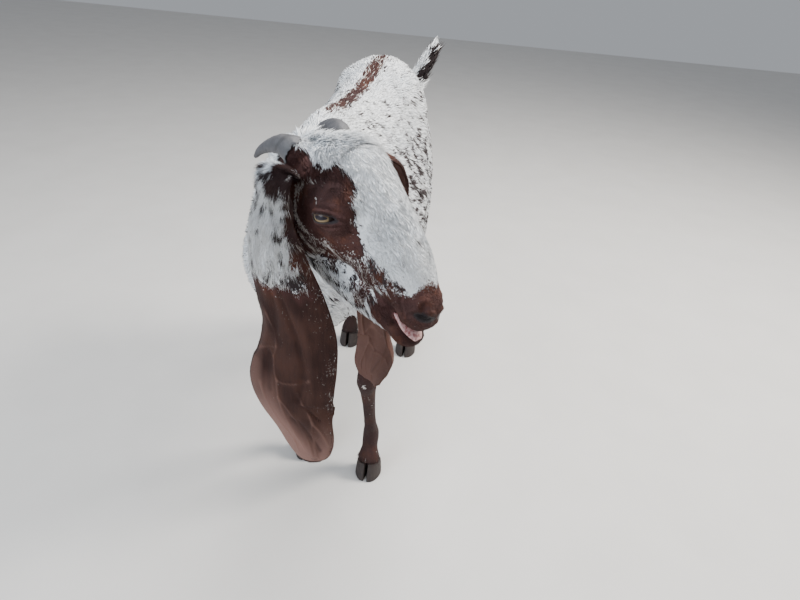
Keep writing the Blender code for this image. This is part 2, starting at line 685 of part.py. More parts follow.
def ear_sheet(flip, steps=1, columns=8):
    """The ear's outer face as an open curled sheet."""
    dense = spline([(*place, *sizes) for place, *sizes in (EAR_LEFT if flip > 0 else EAR_RIGHT)], steps)
    places = [Vector(row[:3]) for row in dense]
    made = bmesh.new()
    grid = []
    for i, row in enumerate(dense):
        ahead, behind = places[min(i + 1, len(places) - 1)], places[max(i - 1, 0)]
        along = (ahead - behind).normalized()
        compass = math.radians(row[6])
        across = Vector((math.cos(compass), math.sin(compass), 0))
        across = (across - along * across.dot(along)).normalized()
        outward = along.cross(across) * -flip
        radius = row[3] / row[4]
        line = []
        for k in range(columns + 1):
            share = 2 * k / columns - 1
            turn = share * row[4] / 2
            line.append(made.verts.new(places[i] + across * (radius * math.sin(turn))
                                       - outward * (row[5] * radius * (1 - math.cos(turn)))))
        grid.append(line)
    for lower, upper in zip(grid, grid[1:]):
        for k in range(columns):
            made.faces.new((lower[k], lower[k + 1], upper[k + 1], upper[k]))
    bmesh.ops.triangulate(made, faces=made.faces)
    return made


def make_ear(flip, head, collection, material):
    """One hanging ear: the curled sheet with its thickness, cut back to the side of the head."""
    ear = as_object("ear_left" if flip > 0 else "ear_right", ear_sheet(flip), collection)
    wall = ear.modifiers.new("wall", "SOLIDIFY")
    wall.thickness = EAR_THICKNESS
    wall.offset = 0.0
    wall.use_even_offset = True
    apply_modifiers(ear)
    source = bmesh.new()
    source.from_mesh(ear.data)
    bmesh.ops.recalc_face_normals(source, faces=source.faces)
    source.to_mesh(ear.data)
    source.free()
    seat(ear, head)
    finish(ear, material)


def make_horn(flip, head, collection, material):
    """One short horn, cut back to the poll."""
    rows = [(left * flip, -forward, up, half_width, half_depth)
            for forward, left, up, half_width, half_depth in (HORN_LEFT if flip > 0 else HORN_RIGHT)]
    horn = as_object("horn_left" if flip > 0 else "horn_right",
                     limb(rows, side=Vector((0, 0, 1)), steps=3, sides=12, transform=head_matrix()), collection)
    seat(horn, head)
    finish(horn, material)


def make_eye(flip, collection, material):
    centre, look, ahead = eye_frame(flip)
    turn = look.to_track_quat("Z", "Y").to_matrix().to_4x4()
    eye = bmesh.new()
    bmesh.ops.create_uvsphere(eye, u_segments=16, v_segments=9, radius=EYE_RADIUS)
    bmesh.ops.transform(eye, matrix=Matrix.Translation(centre) @ turn, verts=eye.verts)
    finish(as_object("eye_left" if flip > 0 else "eye_right", eye, collection), material)


def make_inner_lip(head, jaw, collection, material):
    """The pale inner side of the lower lip, which shows between the parted lips."""
    rows = [(0, -0.196, -0.0840, 0.0120, 0.0030), (0, -0.208, -0.0862, 0.0150, 0.0050),
            (0, -0.220, -0.0910, 0.0145, 0.0050), (0, -0.231, -0.0945, 0.0105, 0.0042),
            (0, -0.237, -0.0970, 0.0050, 0.0030)]
    lip = as_object("inner_lip", limb(rows, steps=2, sides=12, transform=head_matrix()), collection)
    seat(lip, head)
    seat(lip, jaw)
    finish(lip, material)


def lock(root, tip, bulge, flat_side):
    """A flat tapered lock of hair from root to tip, bowed by bulge."""
    rings = []
    along = (tip - root).normalized()
    across = (flat_side - along * flat_side.dot(along)).normalized()
    for share, size in LOCK_TAPER:
        centre = root.lerp(tip, share) + bulge * math.sin(math.pi * share)
        rings.append(oval(centre, across, along.cross(across), LOCK_HALF_WIDTH * size,
                          LOCK_HALF_THICKNESS * size, 0.0, LOCK_SIDES))
    return loft(rings)


def make_locks(collection):
    """Locks down both margins of the tail, fanned out at its root and gathered towards its tip."""
    rng = np.random.default_rng(7)
    line = spline(TAIL, 12)
    end = len(line) - 1
    row_length = TAIL_LOCKS // 2
    for n in range(TAIL_LOCKS):
        share = 0.30 + 0.62 * (n % row_length) / (row_length - 1)
        margin = 1 if n < row_length else -1
        i = int(share * end)
        along = Vector(line[min(i + 1, end)][:3] - line[i - 1][:3]).normalized()
        across = (Vector((1, 0, 0)) - along * along.x).normalized()
        thick = along.cross(across)
        around = rng.uniform(-1.1, 1.1)
        out = across * (margin * math.cos(around)) + thick * math.sin(around)
        root = Vector(line[i][:3]) + out * (0.35 * line[i][3])
        reach = rng.uniform(*LOCK_REACH) * (1.05 - 0.2 * share)
        spread = 0.42 * (1 - share) + 0.10
        tip = root + (along + out * spread).normalized() * reach
        tip = tip.lerp(root + (TAIL_TIP - root) * 0.98, 0.25 + 0.5 * max(0.0, share - 0.5))
        flat_side = across * math.sin(around) + thick * math.cos(around)
        as_object("lock", lock(root, tip, out * LOCK_BOW, flat_side), collection)


def make_tail(torso, collection, material):
    """The raised tail: a fleshy core with long hair in overlapping locks out to the tip."""
    tail = as_object("tail", limb(TAIL, steps=4, sides=14), collection)
    locks = bpy.data.collections.new("locks")
    bpy.context.scene.collection.children.link(locks)
    make_locks(locks)
    union = tail.modifiers.new("locks", "BOOLEAN")
    union.operation = "UNION"
    union.operand_type = "COLLECTION"
    union.collection = locks
    union.solver = "EXACT"
    apply_modifiers(tail)
    for piece in list(locks.objects):
        bpy.data.objects.remove(piece, do_unlink=True)
    bpy.data.collections.remove(locks)
    keep_largest(tail)
    seat(tail, torso)
    finish(tail, material)


def centre_on_floor(collection):
    """Moves every part so that the origin lies on the floor under the middle of the whole."""
    corners = [vertex.co for part in collection.objects for vertex in part.data.vertices]
    low = Vector(min(corner[i] for corner in corners) for i in range(3))
    high = Vector(max(corner[i] for corner in corners) for i in range(3))
    move = Matrix.Translation((-(low.x + high.x) / 2, -(low.y + high.y) / 2, -low.z))
    for part in collection.objects:
        part.data.transform(move)


def main():
    clear_scene()
    goat = bpy.data.collections.new("goat")
    work = bpy.data.collections.new("work")
    cutters = bpy.data.collections.new("cutters")
    for group in (goat, work, cutters):
        bpy.context.scene.collection.children.link(group)
    materials = {name: make_material(name, *look) for name, look in COLOURS.items()}
    white, brown = materials["coat_white"], materials["coat_brown"]

    body = make_body(work)
    make_tail(body, goat, white)
    trim_feet(body)
    boolean(body, half_space(Vector(NECK_TOP) - Vector(NECK_TOP_NORMAL) * GAP / 2, NECK_TOP_NORMAL, 0.4))
    neck = carve(body, half_space(NECK_BASE, NECK_BASE_NORMAL, 0.5), "neck", goat)
    finish(neck, white)
    for leg, region, joint in (("foreleg", FORELEG_REGION, KNEE), ("hindleg", HINDLEG_REGION, HOCK)):
        for flip, side in ((1, "left"), (-1, "right")):
            upper = carve(body, limb(stance(region, leg, flip), steps=1, sides=12), f"{leg}_upper_{side}", goat)
            x, y, z = joint
            below = half_space((flip * x, y, z), (0, 0, -1), 0.3)
            lower = carve(upper, below, f"{leg}_lower_{side}", goat)
            finish(upper, brown if leg == "foreleg" else white)
            finish(lower, brown if leg == "foreleg" else white)
    udder = carve(body, ball((-0.010, 0.392, 0.385), (0.062, 0.066, 0.058), segments=12), "udder", goat)
    finish(udder, white)
    body.name = "torso"
    work.objects.unlink(body)
    goat.objects.link(body)
    finish(body, white)

    head = make_head(goat)
    head.name = "head"
    boolean(head, half_space(Vector(NECK_TOP) + Vector(NECK_TOP_NORMAL) * GAP / 2,
                             -Vector(NECK_TOP_NORMAL), 0.4))
    lip = head_place(*MOUTH_CORNER)
    jaw = carve(head, half_space(lip, head_matrix().to_3x3() @ Vector(MOUTH_DOWN), 0.4), "lower_jaw", goat)
    for flip in (1, -1):
        make_ear(flip, head, goat, brown)
        make_horn(flip, head, goat, materials["horn"])
        make_eye(flip, goat, materials["eye"])
    make_inner_lip(head, jaw, goat, materials["inner_lip"])
    eye_details(head)
    nostril_details(head)
    finish(head, white)
    finish(jaw, white)

    for leg, rows in LEGS.items():
        for flip, side in ((1, "left"), (-1, "right")):
            x, y = stance(rows, leg, flip)[-1][:2]
            for outward, where in ((flip, "outer"), (-flip, "inner")):
                hoof = as_object(f"hoof_{leg[:4]}_{side}_{where}", claw(x, y, outward), goat)
                finish(hoof, materials["hoof"])
    centre_on_floor(goat)


main()
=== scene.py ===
"""Looks of a standing long-eared goat: skin, coat, ears, eyes, horns and hooves over its fixed frame.

Metres, +Z up. The goat faces -Y and its left side is +X.
"""

import json
import math

import bmesh
import bpy
import numpy as np
from mathutils import Matrix, Vector

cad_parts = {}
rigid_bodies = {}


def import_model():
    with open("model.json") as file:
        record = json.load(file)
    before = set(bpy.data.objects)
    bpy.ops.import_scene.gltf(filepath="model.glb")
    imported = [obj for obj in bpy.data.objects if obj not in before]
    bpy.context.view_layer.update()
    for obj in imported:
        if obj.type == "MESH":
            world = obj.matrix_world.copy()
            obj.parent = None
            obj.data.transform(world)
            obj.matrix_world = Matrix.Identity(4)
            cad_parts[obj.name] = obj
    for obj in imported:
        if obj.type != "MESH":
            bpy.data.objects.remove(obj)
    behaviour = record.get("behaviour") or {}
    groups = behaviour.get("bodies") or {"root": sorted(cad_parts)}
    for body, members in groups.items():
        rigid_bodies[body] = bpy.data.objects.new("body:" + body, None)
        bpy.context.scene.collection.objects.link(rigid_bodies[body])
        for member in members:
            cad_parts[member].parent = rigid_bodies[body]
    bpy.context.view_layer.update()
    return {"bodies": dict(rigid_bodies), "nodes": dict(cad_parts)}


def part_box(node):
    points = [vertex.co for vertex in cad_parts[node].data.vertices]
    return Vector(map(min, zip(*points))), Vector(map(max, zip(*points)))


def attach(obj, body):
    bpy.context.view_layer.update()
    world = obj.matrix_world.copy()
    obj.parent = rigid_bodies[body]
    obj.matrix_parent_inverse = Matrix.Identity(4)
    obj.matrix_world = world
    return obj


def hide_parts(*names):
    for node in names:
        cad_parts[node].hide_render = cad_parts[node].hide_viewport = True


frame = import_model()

# Skin and coat
SEAM = 0.0004                    # swelling that closes the gaps between the frame's parts
SKIN_VOXEL = 0.0022
SKIN_TRIANGLES = 150000
SKIN_SMOOTHING = 14              # rounds of smoothing once the frame's parts are one skin
LID_SMOOTHING = 4                # and once the balls of the lids are in it
TRUNK_SMOOTHING = 110            # and of the trunk alone, where shoulder, haunch and neck meet it
BODY_PATTERN = 0.62              # the body's markings are coarser than the head's by this share
TUFT_PATCH = 0.0028              # width of a tuft's patch on its unwrap
ROOT_DEPTH = 0.0006              # how deep a tuft starts under the skin
WAVER = 0.85                     # how far hair as long as the trunk's turns aside (tangent)

# Depth of the coat over the skin
TRUNK_COAT = 0.0042
LEG_THINNER = 0.0022
FACE_COAT = 0.0012
CROWN_THICKER = 0.0014
NOSE_THINNER = 0.0006

# Length of the hair
LONG_HAIR = 0.018                # on neck and trunk
LEG_SHORTER = 0.0100
FOOT_SHORTER = 0.0025
CORONET_LONGER = 0.0085          # where it hangs over the hooves
FACE_HAIR = 0.0072
BLAZE_LONGER = 0.0052
CROWN_LONGER = 0.0125
JAW_LONGER = 0.0030
EYE_SHORTER = 0.0035
NOSE_SHARE = 0.62                # share of the face's hair that is missing at the nose
SHORTEST_HAIR = 0.0024

# The head as drawn in its own sizes: turn, and the eyeball's centre, forward, left, up from the poll
HEAD_YAW = math.radians(56)
HEAD_PITCH = math.radians(21)
HEAD_ROLL = math.radians(-4)
DRAWN_POLL = np.array((0.085, -0.262, 0.838))
EYE_CENTRE = (0.0908, 0.0480, -0.0244)
EYE_LOOK = Vector((0.24, 0.95, 0.16)).normalized()
EYE_SLANT = math.radians(29)
EYE_RADIUS = 0.0145
LID_THICKNESS = 0.0026
EYE_OPENING = (0.0345, 0.0094)
EYE_DROP = 0.0006                # how far the opening lies below the eyeball's middle
SLIT_STEPS = 40                  # points round the cut that opens the lids
SLIT_RINGS = ((0.004, 0.92), (EYE_RADIUS + 0.014, 1.04))     # depth and relative size of its ends
LID_EDGE_RADIUS = 0.00095        # of the dark bead round the opening
LID_EDGE_STAND = 0.0009          # how far it stands off the ball
LID_EDGE_SPREAD = 1.02           # how much wider than the opening it is
NOSTRIL = (0.2355, 0.0128, -0.0545)
NOSTRIL_END = (0.2285, 0.0205, -0.0550)
NOSTRIL_RADII = (0.0092, 0.0034, 0.0100)
NOSTRIL_SHIFT = 0.0010           # how far its hollow lies outwards along the slit, and into the nose
HEAD_AXIS_UP = -0.045            # height of the line that angles round the head are measured from

# Planes between head, neck and trunk as drawn: a point and the way out of the body
NECK_TOP = (0.053, -0.214, 0.766)
NECK_TOP_NORMAL = (0.330, -0.810, 0.485)
NECK_BASE = (0.004, -0.075, 0.680)
NECK_BASE_NORMAL = (0.100, -0.850, 0.515)

# Camera: its place from the poll, its way of looking, its roll and its lens
CAMERA_FROM_POLL = (0.2228, -0.663, 0.210)
CAMERA_LOOK = (-0.1466, 0.8445, -0.515)
CAMERA_ROLL = math.radians(4.3)
CAMERA_LENS = 27.18

FLESH = ["torso", "neck", "head", "lower_jaw", "udder"] + [
    f"{leg}leg_{part}_{side}" for leg in ("fore", "hind") for part in ("upper", "lower")
    for side in ("left", "right")]
EYES = ["eye_left", "eye_right"]
HOOVES = [f"hoof_{leg}_{side}_{where}" for leg in ("fore", "hind") for side in ("left", "right")
          for where in ("outer", "inner")]

# Ears: the outermost line down each ear from inside the head, with width across the sheet,
# how far the sheet curls (radians), its depth over its width, and the compass angle of its width
EAR_RIGHT = [
    ((0.0670, -0.3000, 0.8090), 0.0420, 2.4, 0.50, -33),
    ((0.0620, -0.3170, 0.8190), 0.0500, 2.4, 0.45, -33),
    ((0.0588, -0.3290, 0.8220), 0.0560, 2.4, 0.42, -32),
    ((0.0565, -0.3385, 0.8165), 0.0610, 2.4, 0.42, -31),
    ((0.0548, -0.3450, 0.8055), 0.0660, 2.5, 0.46, -30),
    ((0.0536, -0.3500, 0.7920), 0.0730, 2.5, 0.54, -27),
    ((0.0516, -0.3570, 0.7710), 0.0840, 2.5, 0.64, -24),
    ((0.0530, -0.3620, 0.7460), 0.0950, 2.3, 0.74, -20),
    ((0.0590, -0.3650, 0.7140), 0.1062, 2.0, 0.80, -17),
    ((0.0702, -0.3665, 0.6757), 0.1154, 1.7, 0.85, -15),
    ((0.0811, -0.3670, 0.6337), 0.1186, 1.5, 0.90, -14),
    ((0.0803, -0.3675, 0.5981), 0.1231, 1.4, 0.90, -14),
    ((0.0749, -0.3675, 0.5691), 0.1295, 1.35, 0.92, -14),
    ((0.0698, -0.3670, 0.5479), 0.1375, 1.3, 0.92, -14),
    ((0.0681, -0.3670, 0.5277), 0.1426, 1.3, 0.94, -14),
    ((0.0735, -0.3660, 0.5010), 0.1344, 1.3, 0.95, -14),
    ((0.0856, -0.3630, 0.4696), 0.1077, 1.25, 0.96, -14),
    ((0.0925, -0.3600, 0.4424), 0.0850, 1.2, 0.98, -14),
    ((0.0965, -0.3580, 0.4278), 0.0640, 1.1, 1.0, -14),
    ((0.0990, -0.3570, 0.4205), 0.0360, 1.0, 1.0, -14),
]
EAR_LEFT = [
    ((0.1060, -0.2340, 0.8050), 0.0420, 2.4, 0.50, -33),
    ((0.1245, -0.2215, 0.8160), 0.0525, 2.4, 0.45, -34),
    ((0.1425, -0.2102, 0.8185), 0.0610, 2.4, 0.42, -35),
    ((0.1562, -0.2030, 0.8108), 0.0672, 2.4, 0.42, -36),
    ((0.1645, -0.1988, 0.7976), 0.0730, 2.5, 0.46, -38),
    ((0.1692, -0.1965, 0.7812), 0.0790, 2.5, 0.56, -40),
    ((0.1696, -0.1963, 0.7506), 0.0865, 2.5, 0.68, -42),
    ((0.1648, -0.1988, 0.7053), 0.0882, 2.5, 0.76, -42),
    ((0.1560, -0.2020, 0.6500), 0.0880, 2.45, 0.82, -42),
    ((0.1560, -0.2035, 0.6000), 0.0900, 2.4, 0.84, -42),
    ((0.1610, -0.2045, 0.5600), 0.0960, 2.3, 0.86, -42),
    ((0.1660, -0.2060, 0.5325), 0.1040, 1.9, 0.88, -42),
    ((0.1605, -0.2070, 0.5137), 0.1000, 1.6, 0.90, -42),
    ((0.1545, -0.2080, 0.4979), 0.0870, 1.45, 0.92, -42),
    ((0.1490, -0.2090, 0.4817), 0.0760, 1.3, 0.94, -42),
    ((0.1478, -0.2100, 0.4707), 0.0600, 1.2, 0.96, -42),
    ((0.1480, -0.2110, 0.4633), 0.0440, 1.1, 0.98, -42),
    ((0.1485, -0.2110, 0.4590), 0.0240, 1.0, 1.0, -42),
]

# Relief of the ears: height, half width (mm), and a line of shares down and across; 1 left, -1 right
EAR_SPAN = (400.0, 55.0)         # the sheet is about this long, and this wide each side of its middle
EAR_FOLDS = {
    -1: [
        (-0.0024, 5.0, [(0.44, -0.10), (0.48, -0.19), (0.526, -0.39)]),
        (0.0020, 7.0, [(0.49, -0.54), (0.544, -0.70), (0.60, -0.80)]),
        (-0.0024, 4.0, [(0.47, 0.10), (0.509, 0.14), (0.55, 0.22), (0.585, 0.33), (0.649, 0.36),
                        (0.70, 0.33)]),
        (0.0014, 7.0, [(0.50, 0.32), (0.56, 0.42), (0.62, 0.52), (0.70, 0.55)]),
        (0.0045, 16.0, [(0.66, -0.80), (0.70, -0.70)]),
        (-0.0030, 6.0, [(0.60, -0.52), (0.66, -0.40), (0.71, -0.30)]),
        (-0.0026, 5.0, [(0.79, 0.10), (0.807, 0.25), (0.842, 0.39), (0.889, 0.61)]),
        (0.0020, 6.0, [(0.83, 0.05), (0.87, 0.22), (0.92, 0.40)]),
    ],
    1: [
        (0.0018, 7.0, [(0.55, -0.60), (0.66, -0.40), (0.78, -0.35)]),
        (-0.0016, 6.0, [(0.60, 0.10), (0.72, 0.20), (0.84, 0.10)]),
    ],
}
EAR_VEINS = {
    -1: [
        (0.0010, 1.6, [(0.591, -0.39), (0.655, -0.17), (0.643, 0.11), (0.62, 0.36), (0.608, 0.47)]),
        (0.0007, 1.5, [(0.561, -0.33), (0.58, -0.60), (0.602, -0.83)]),
        (0.0008, 1.6, [(0.49, -0.47), (0.52, -0.42), (0.561, -0.33), (0.591, -0.39)]),
        (-0.0016, 1.6, [(0.725, 0.42), (0.772, 0.58), (0.801, 0.72)]),
        (0.0012, 1.8, [(0.66, 0.30), (0.737, 0.47), (0.801, 0.56), (0.83, 0.69), (0.87, 0.85)]),
        (0.0011, 1.7, [(0.655, -0.17), (0.72, -0.06), (0.80, 0.02), (0.88, 0.12)]),
        (0.0010, 1.5, [(0.70, -0.50), (0.78, -0.30), (0.86, -0.16)]),
        (0.0010, 1.5, [(0.72, -0.06), (0.76, 0.12), (0.83, 0.28), (0.90, 0.36)]),
        (0.0009, 1.4, [(0.80, 0.56), (0.85, 0.45), (0.91, 0.50), (0.95, 0.66)]),
        (0.0009, 1.4, [(0.80, 0.02), (0.85, -0.12), (0.90, -0.18)]),
    ],
    1: [
        (0.0017, 1.9, [(0.50, -0.75), (0.588, -0.83), (0.66, -0.74), (0.706, -0.53), (0.732, -0.22)]),
        (0.0013, 1.6, [(0.62, -0.78), (0.60, -0.50), (0.62, -0.10), (0.645, 0.40)]),
        (0.0013, 1.6, [(0.70, -0.55), (0.78, -0.60), (0.87, -0.68)]),
        (0.0012, 1.5, [(0.732, -0.22), (0.70, 0.20), (0.69, 0.60)]),
        (0.0012, 1.5, [(0.732, -0.22), (0.80, -0.12), (0.88, 0.08), (0.93, 0.20)]),
        (0.0009, 1.3, [(0.78, -0.60), (0.83, -0.42), (0.90, -0.36)]),
        (0.0009, 1.3, [(0.70, 0.20), (0.76, 0.32), (0.82, 0.48)]),
        (0.0009, 1.3, [(0.60, -0.50), (0.56, -0.20), (0.55, 0.20)]),
    ],
}
EAR_WHITE_END = 0.700            # heights where the right ear's white band ends and its dark root begins
EAR_DARK_ROOT = 0.808
EAR_STEPS = 9                    # rows of the sheet between two of its places, and faces across it
EAR_COLUMNS = 72
EAR_RIM = 0.0012                 # thickness of the sheet at its rim, and how much more inside it
EAR_THICKER = 0.0020
EAR_TUFTS = {1: 15000, -1: 28000}

# Tail's fleshy core as drawn: x, y, z, radius; and the tip of its hair
TAIL = [
    (0.000, 0.500, 0.720, 0.024),
    (0.006, 0.535, 0.722, 0.019),
    (0.022, 0.558, 0.728, 0.0150),
    (0.042, 0.572, 0.750, 0.0110),
    (0.060, 0.581, 0.782, 0.0080),
    (0.074, 0.587, 0.808, 0.0040),
]
TAIL_TIP = (0.093, 0.592, 0.850)
TAIL_DARK = (0.738, 0.806)       # drawn heights between which its upper side is dark
TAIL_TUFTS = 2200

# Rings of the horns and ridges of the hooves
RING_GAP = 0.0062
RING_HEIGHT = 0.0006
HORN_SLIMMER = 0.34              # how much slimmer the horns' tips are than the frame's
RIDGE_GAP = 0.0058
RIDGE_HEIGHT = 0.0003
HOOF_EDGE = 0.0012               # width of the rounding of its edges

# Middle line of each horn: forward, outward, up
HORN_RIGHT = [(0.014, 0.026, -0.018), (0.003, 0.036, -0.007), (-0.012, 0.042, -0.008),
              (-0.026, 0.047, -0.018), (-0.036, 0.051, -0.031), (-0.040, 0.053, -0.043)]
HORN_LEFT = [(0.014, 0.024, -0.016), (0.002, 0.033, -0.002), (-0.016, 0.037, 0.003),
             (-0.034, 0.038, -0.005), (-0.048, 0.041, -0.018), (-0.055, 0.044, -0.032)]

# Brown patch round each eye: forward, then the angles round the head of its top and bottom edge
EYE_PATCH = [
    (-0.020, 60, 100),
    (0.000, 40, 112),
    (0.015, 36, 118),
    (0.030, 35, 124),
    (0.045, 31, 128),
    (0.060, 27, 130),
    (0.075, 25, 133),
    (0.085, 24, 138),
    (0.093, 25, 143),
    (0.100, 30, 145),
    (0.108, 37, 144),
    (0.117, 42, 136),
    (0.125, 49, 122),
    (0.131, 57, 112),
    (0.138, 66, 102),
    (0.145, 80, 86),
    (0.150, 84, 82),
]
# Brown muzzle: the angle round the head, and how far forward the brown begins there
MUZZLE_EDGE = [
    (0, 0.218), (20, 0.217), (47, 0.2165), (77, 0.212), (90, 0.203), (105, 0.190),
    (120, 0.177), (135, 0.166), (150, 0.160), (158, 0.176), (165, 0.197), (180, 0.200),
]
NO_BROWN = -60.0                 # a depth far outside any brown
KNEE_CALLUS = (0.0905, -0.0158, 0.2774)     # middle of the pale callus on the left knee, as drawn

# White hairs in the brown patch: lines of forward and angle, half width (mm) and how thick they stand
DEGREE_ARC = 0.98                # a degree round the head is about this many millimetres
WHITE_HAIR_LINES = [
    ([(0.052, 50), (0.044, 55), (0.038, 62), (0.037, 72), (0.041, 84), (0.050, 94)], 2.0, 0.92),
    ([(0.050, 96), (0.060, 102), (0.072, 104)], 2.8, 1.05),
    ([(0.068, 63), (0.074, 67)], 1.6, 0.85),
    ([(0.096, 116), (0.106, 122), (0.112, 128)], 4.5, 1.1),
    ([(0.066, 112), (0.080, 122), (0.094, 132)], 3.5, 0.8),
    ([(0.118, 50), (0.124, 53)], 1.3, 0.60),
]


def smooth_share(low, high, value):
    """0 below low, 1 above high, and an even rise between them."""
    share = np.clip((np.asarray(value, float) - low) / (high - low), 0, 1)
    return share * share * (3 - 2 * share)


def unit(vectors):
    return vectors / np.maximum(np.linalg.norm(vectors, axis=-1, keepdims=True), 1e-12)


def head_axes():
    """Forward, left and up of the turned head."""
    forward = Vector((math.sin(HEAD_YAW) * math.cos(HEAD_PITCH),
                      -math.cos(HEAD_YAW) * math.cos(HEAD_PITCH), -math.sin(HEAD_PITCH)))
    left = Vector((math.cos(HEAD_YAW), math.sin(HEAD_YAW), 0.0))
    up = forward.cross(left)
    tilted_left = left * math.cos(HEAD_ROLL) + up * math.sin(HEAD_ROLL)
    tilted_up = up * math.cos(HEAD_ROLL) - left * math.sin(HEAD_ROLL)
    return forward, tilted_left, tilted_up


FORWARD, LEFT, UP = head_axes()


def box_middle(node):
    low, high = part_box(node)
    return (low + high) / 2


between_eyes = (box_middle("eye_left") + box_middle("eye_right")) / 2
poll = between_eyes - FORWARD * EYE_CENTRE[0] - UP * EYE_CENTRE[2]
SHIFT = np.array(poll) - DRAWN_POLL          # from the drawn places to the frame's


def drawn(point):
    """A drawn place, in the frame."""
    return np.array(point, float) + SHIFT


def in_head(points):
    """Forward, left and up of points in the head's own frame."""
    away = points - np.array(poll)
    return away @ np.array(FORWARD), away @ np.array(LEFT), away @ np.array(UP)


def head_place(forward, left, up):
    return poll + FORWARD * forward + LEFT * left + UP * up


def round_head(points):
    """How far forward a point lies, its angle round the head (0 on top, 180 below) and its radius."""
    forward, left, up = in_head(points)
    rise = up - HEAD_AXIS_UP
    return forward, np.degrees(np.arctan2(np.abs(left), rise)), np.hypot(left, rise)


def past_plane(points, point, normal):
    """How far points lie past a drawn plane."""
    return (points - drawn(point)) @ unit(np.array(normal, float))


def past_neck(points):
    """How far points lie past the top of the neck, on the head's side."""
    return past_plane(points, NECK_TOP, NECK_TOP_NORMAL)


def line_gap(points, line):
    """Distance of points from a line through a few places, in any number of axes."""
    line = np.array(line, float)
    near = np.full(len(points), np.inf)
    for start, end in zip(line, line[1:]):
        along = end - start
        share = np.clip(((points - start) @ along) / (along @ along), 0, 1)
        near = np.minimum(near, np.linalg.norm(points - start - share[:, None] * along, axis=1))
    return near


def spline(rows, steps):
    """Rows of numbers with extra rows between each pair, on one smooth curve through them all."""
    rows = np.array(rows, float)
    padded = np.vstack([2 * rows[0] - rows[1], rows, 2 * rows[-1] - rows[-2]])
    dense = []
    for i in range(len(rows) - 1):
        a, b, c, d = padded[i:i + 4]
        for t in np.arange(steps) / steps:
            dense.append(0.5 * (2 * b + (c - a) * t + (2 * a - 5 * b + 4 * c - d) * t ** 2
                                + (3 * b - a - 3 * c + d) * t ** 3))
    return np.vstack([dense, rows[-1]])


# Meshes
def select_only(piece):
    for other in bpy.context.selected_objects:
        other.select_set(False)
    piece.select_set(True)
    bpy.context.view_layer.objects.active = piece


def add_object(name, data):
    """A mesh, camera or light as a named object in the scene."""
    made = bpy.data.objects.new(name, data)
    bpy.context.scene.collection.objects.link(made)
    return made


def as_piece(name, source):
    """A bmesh as a named object in the scene."""
    data = bpy.data.meshes.new(name)
    source.to_mesh(data)
    source.free()
    return add_object(name, data)


def modify(piece, kind, **settings):
    """Adds one modifier and applies it."""
    modifier = piece.modifiers.new(kind.lower(), kind)
    for key, value in settings.items():
        setattr(modifier, key, value)
    select_only(piece)
    bpy.ops.object.modifier_apply(modifier=modifier.name)


def face_outwards(piece):
    """Turns all its faces the same way, outwards."""
    select_only(piece)
    bpy.ops.object.mode_set(mode="EDIT")
    bpy.ops.mesh.select_all(action="SELECT")
    bpy.ops.mesh.normals_make_consistent(inside=False)
    bpy.ops.object.mode_set(mode="OBJECT")


def group_points(piece, name, chosen):
    """Puts the chosen points in a vertex group."""
    group = piece.vertex_groups.new(name=name)
    group.add(np.where(chosen)[0].tolist(), 1.0, "REPLACE")


def merged_copy(name, nodes, swell=0.0):
    """The frame's nodes as one new object with their triangles merged, swollen a little if asked."""
    whole = bmesh.new()
    for node in nodes:
        whole.from_mesh(frame["nodes"][node].data)
    bmesh.ops.remove_doubles(whole, verts=whole.verts, dist=1e-5)
    whole.normal_update()
    for vertex in whole.verts:
        vertex.co += vertex.normal * swell
    return as_piece(name, whole)


def add_ball(name, centre, radii, turn=None, segments=32):
    """An ellipsoid added as by hand, with its place in its mesh."""
    for other in bpy.context.selected_objects:
        other.select_set(False)
    bpy.ops.mesh.primitive_uv_sphere_add(segments=segments, ring_count=segments // 2, radius=1.0)
    piece = bpy.context.active_object
    piece.name = name
    matrix = Matrix.Translation(Vector(centre)) @ (turn or Matrix.Identity(4))
    piece.data.transform(matrix @ Matrix.Diagonal((*radii, 1.0)))
    return piece


def join(pieces):
    """Joins pieces into the first."""
    select_only(pieces[0])
    for piece in pieces[1:]:
        piece.select_set(True)
    bpy.ops.object.join()
    return pieces[0]


def cut(piece, tool, operation="DIFFERENCE"):
    modify(piece, "BOOLEAN", operation=operation, object=tool, solver="MANIFOLD")
    bpy.data.objects.remove(tool, do_unlink=True)


def read(data, kind, width):
    """Numbers of a mesh, as rows of a few each."""
    store = np.empty(len(data) * width, np.float32)
    data.foreach_get(kind, store)
    return store.reshape(-1, width).astype(float)


def places(piece):
    return read(piece.data.vertices, "co", 3)


def normals(piece):
    return read(piece.data.vertex_normals, "vector", 3)


def put_places(piece, points):
    piece.data.vertices.foreach_set("co", points.astype(np.float32).ravel())
    piece.data.update()


def put_attribute(piece, name, values):
    """Stores numbers or vectors on the points of a piece."""
    vector = values.ndim == 2
    made = piece.data.attributes.new(name, "FLOAT_VECTOR" if vector else "FLOAT", "POINT")
    made.data.foreach_set("vector" if vector else "value", values.astype(np.float32).ravel())


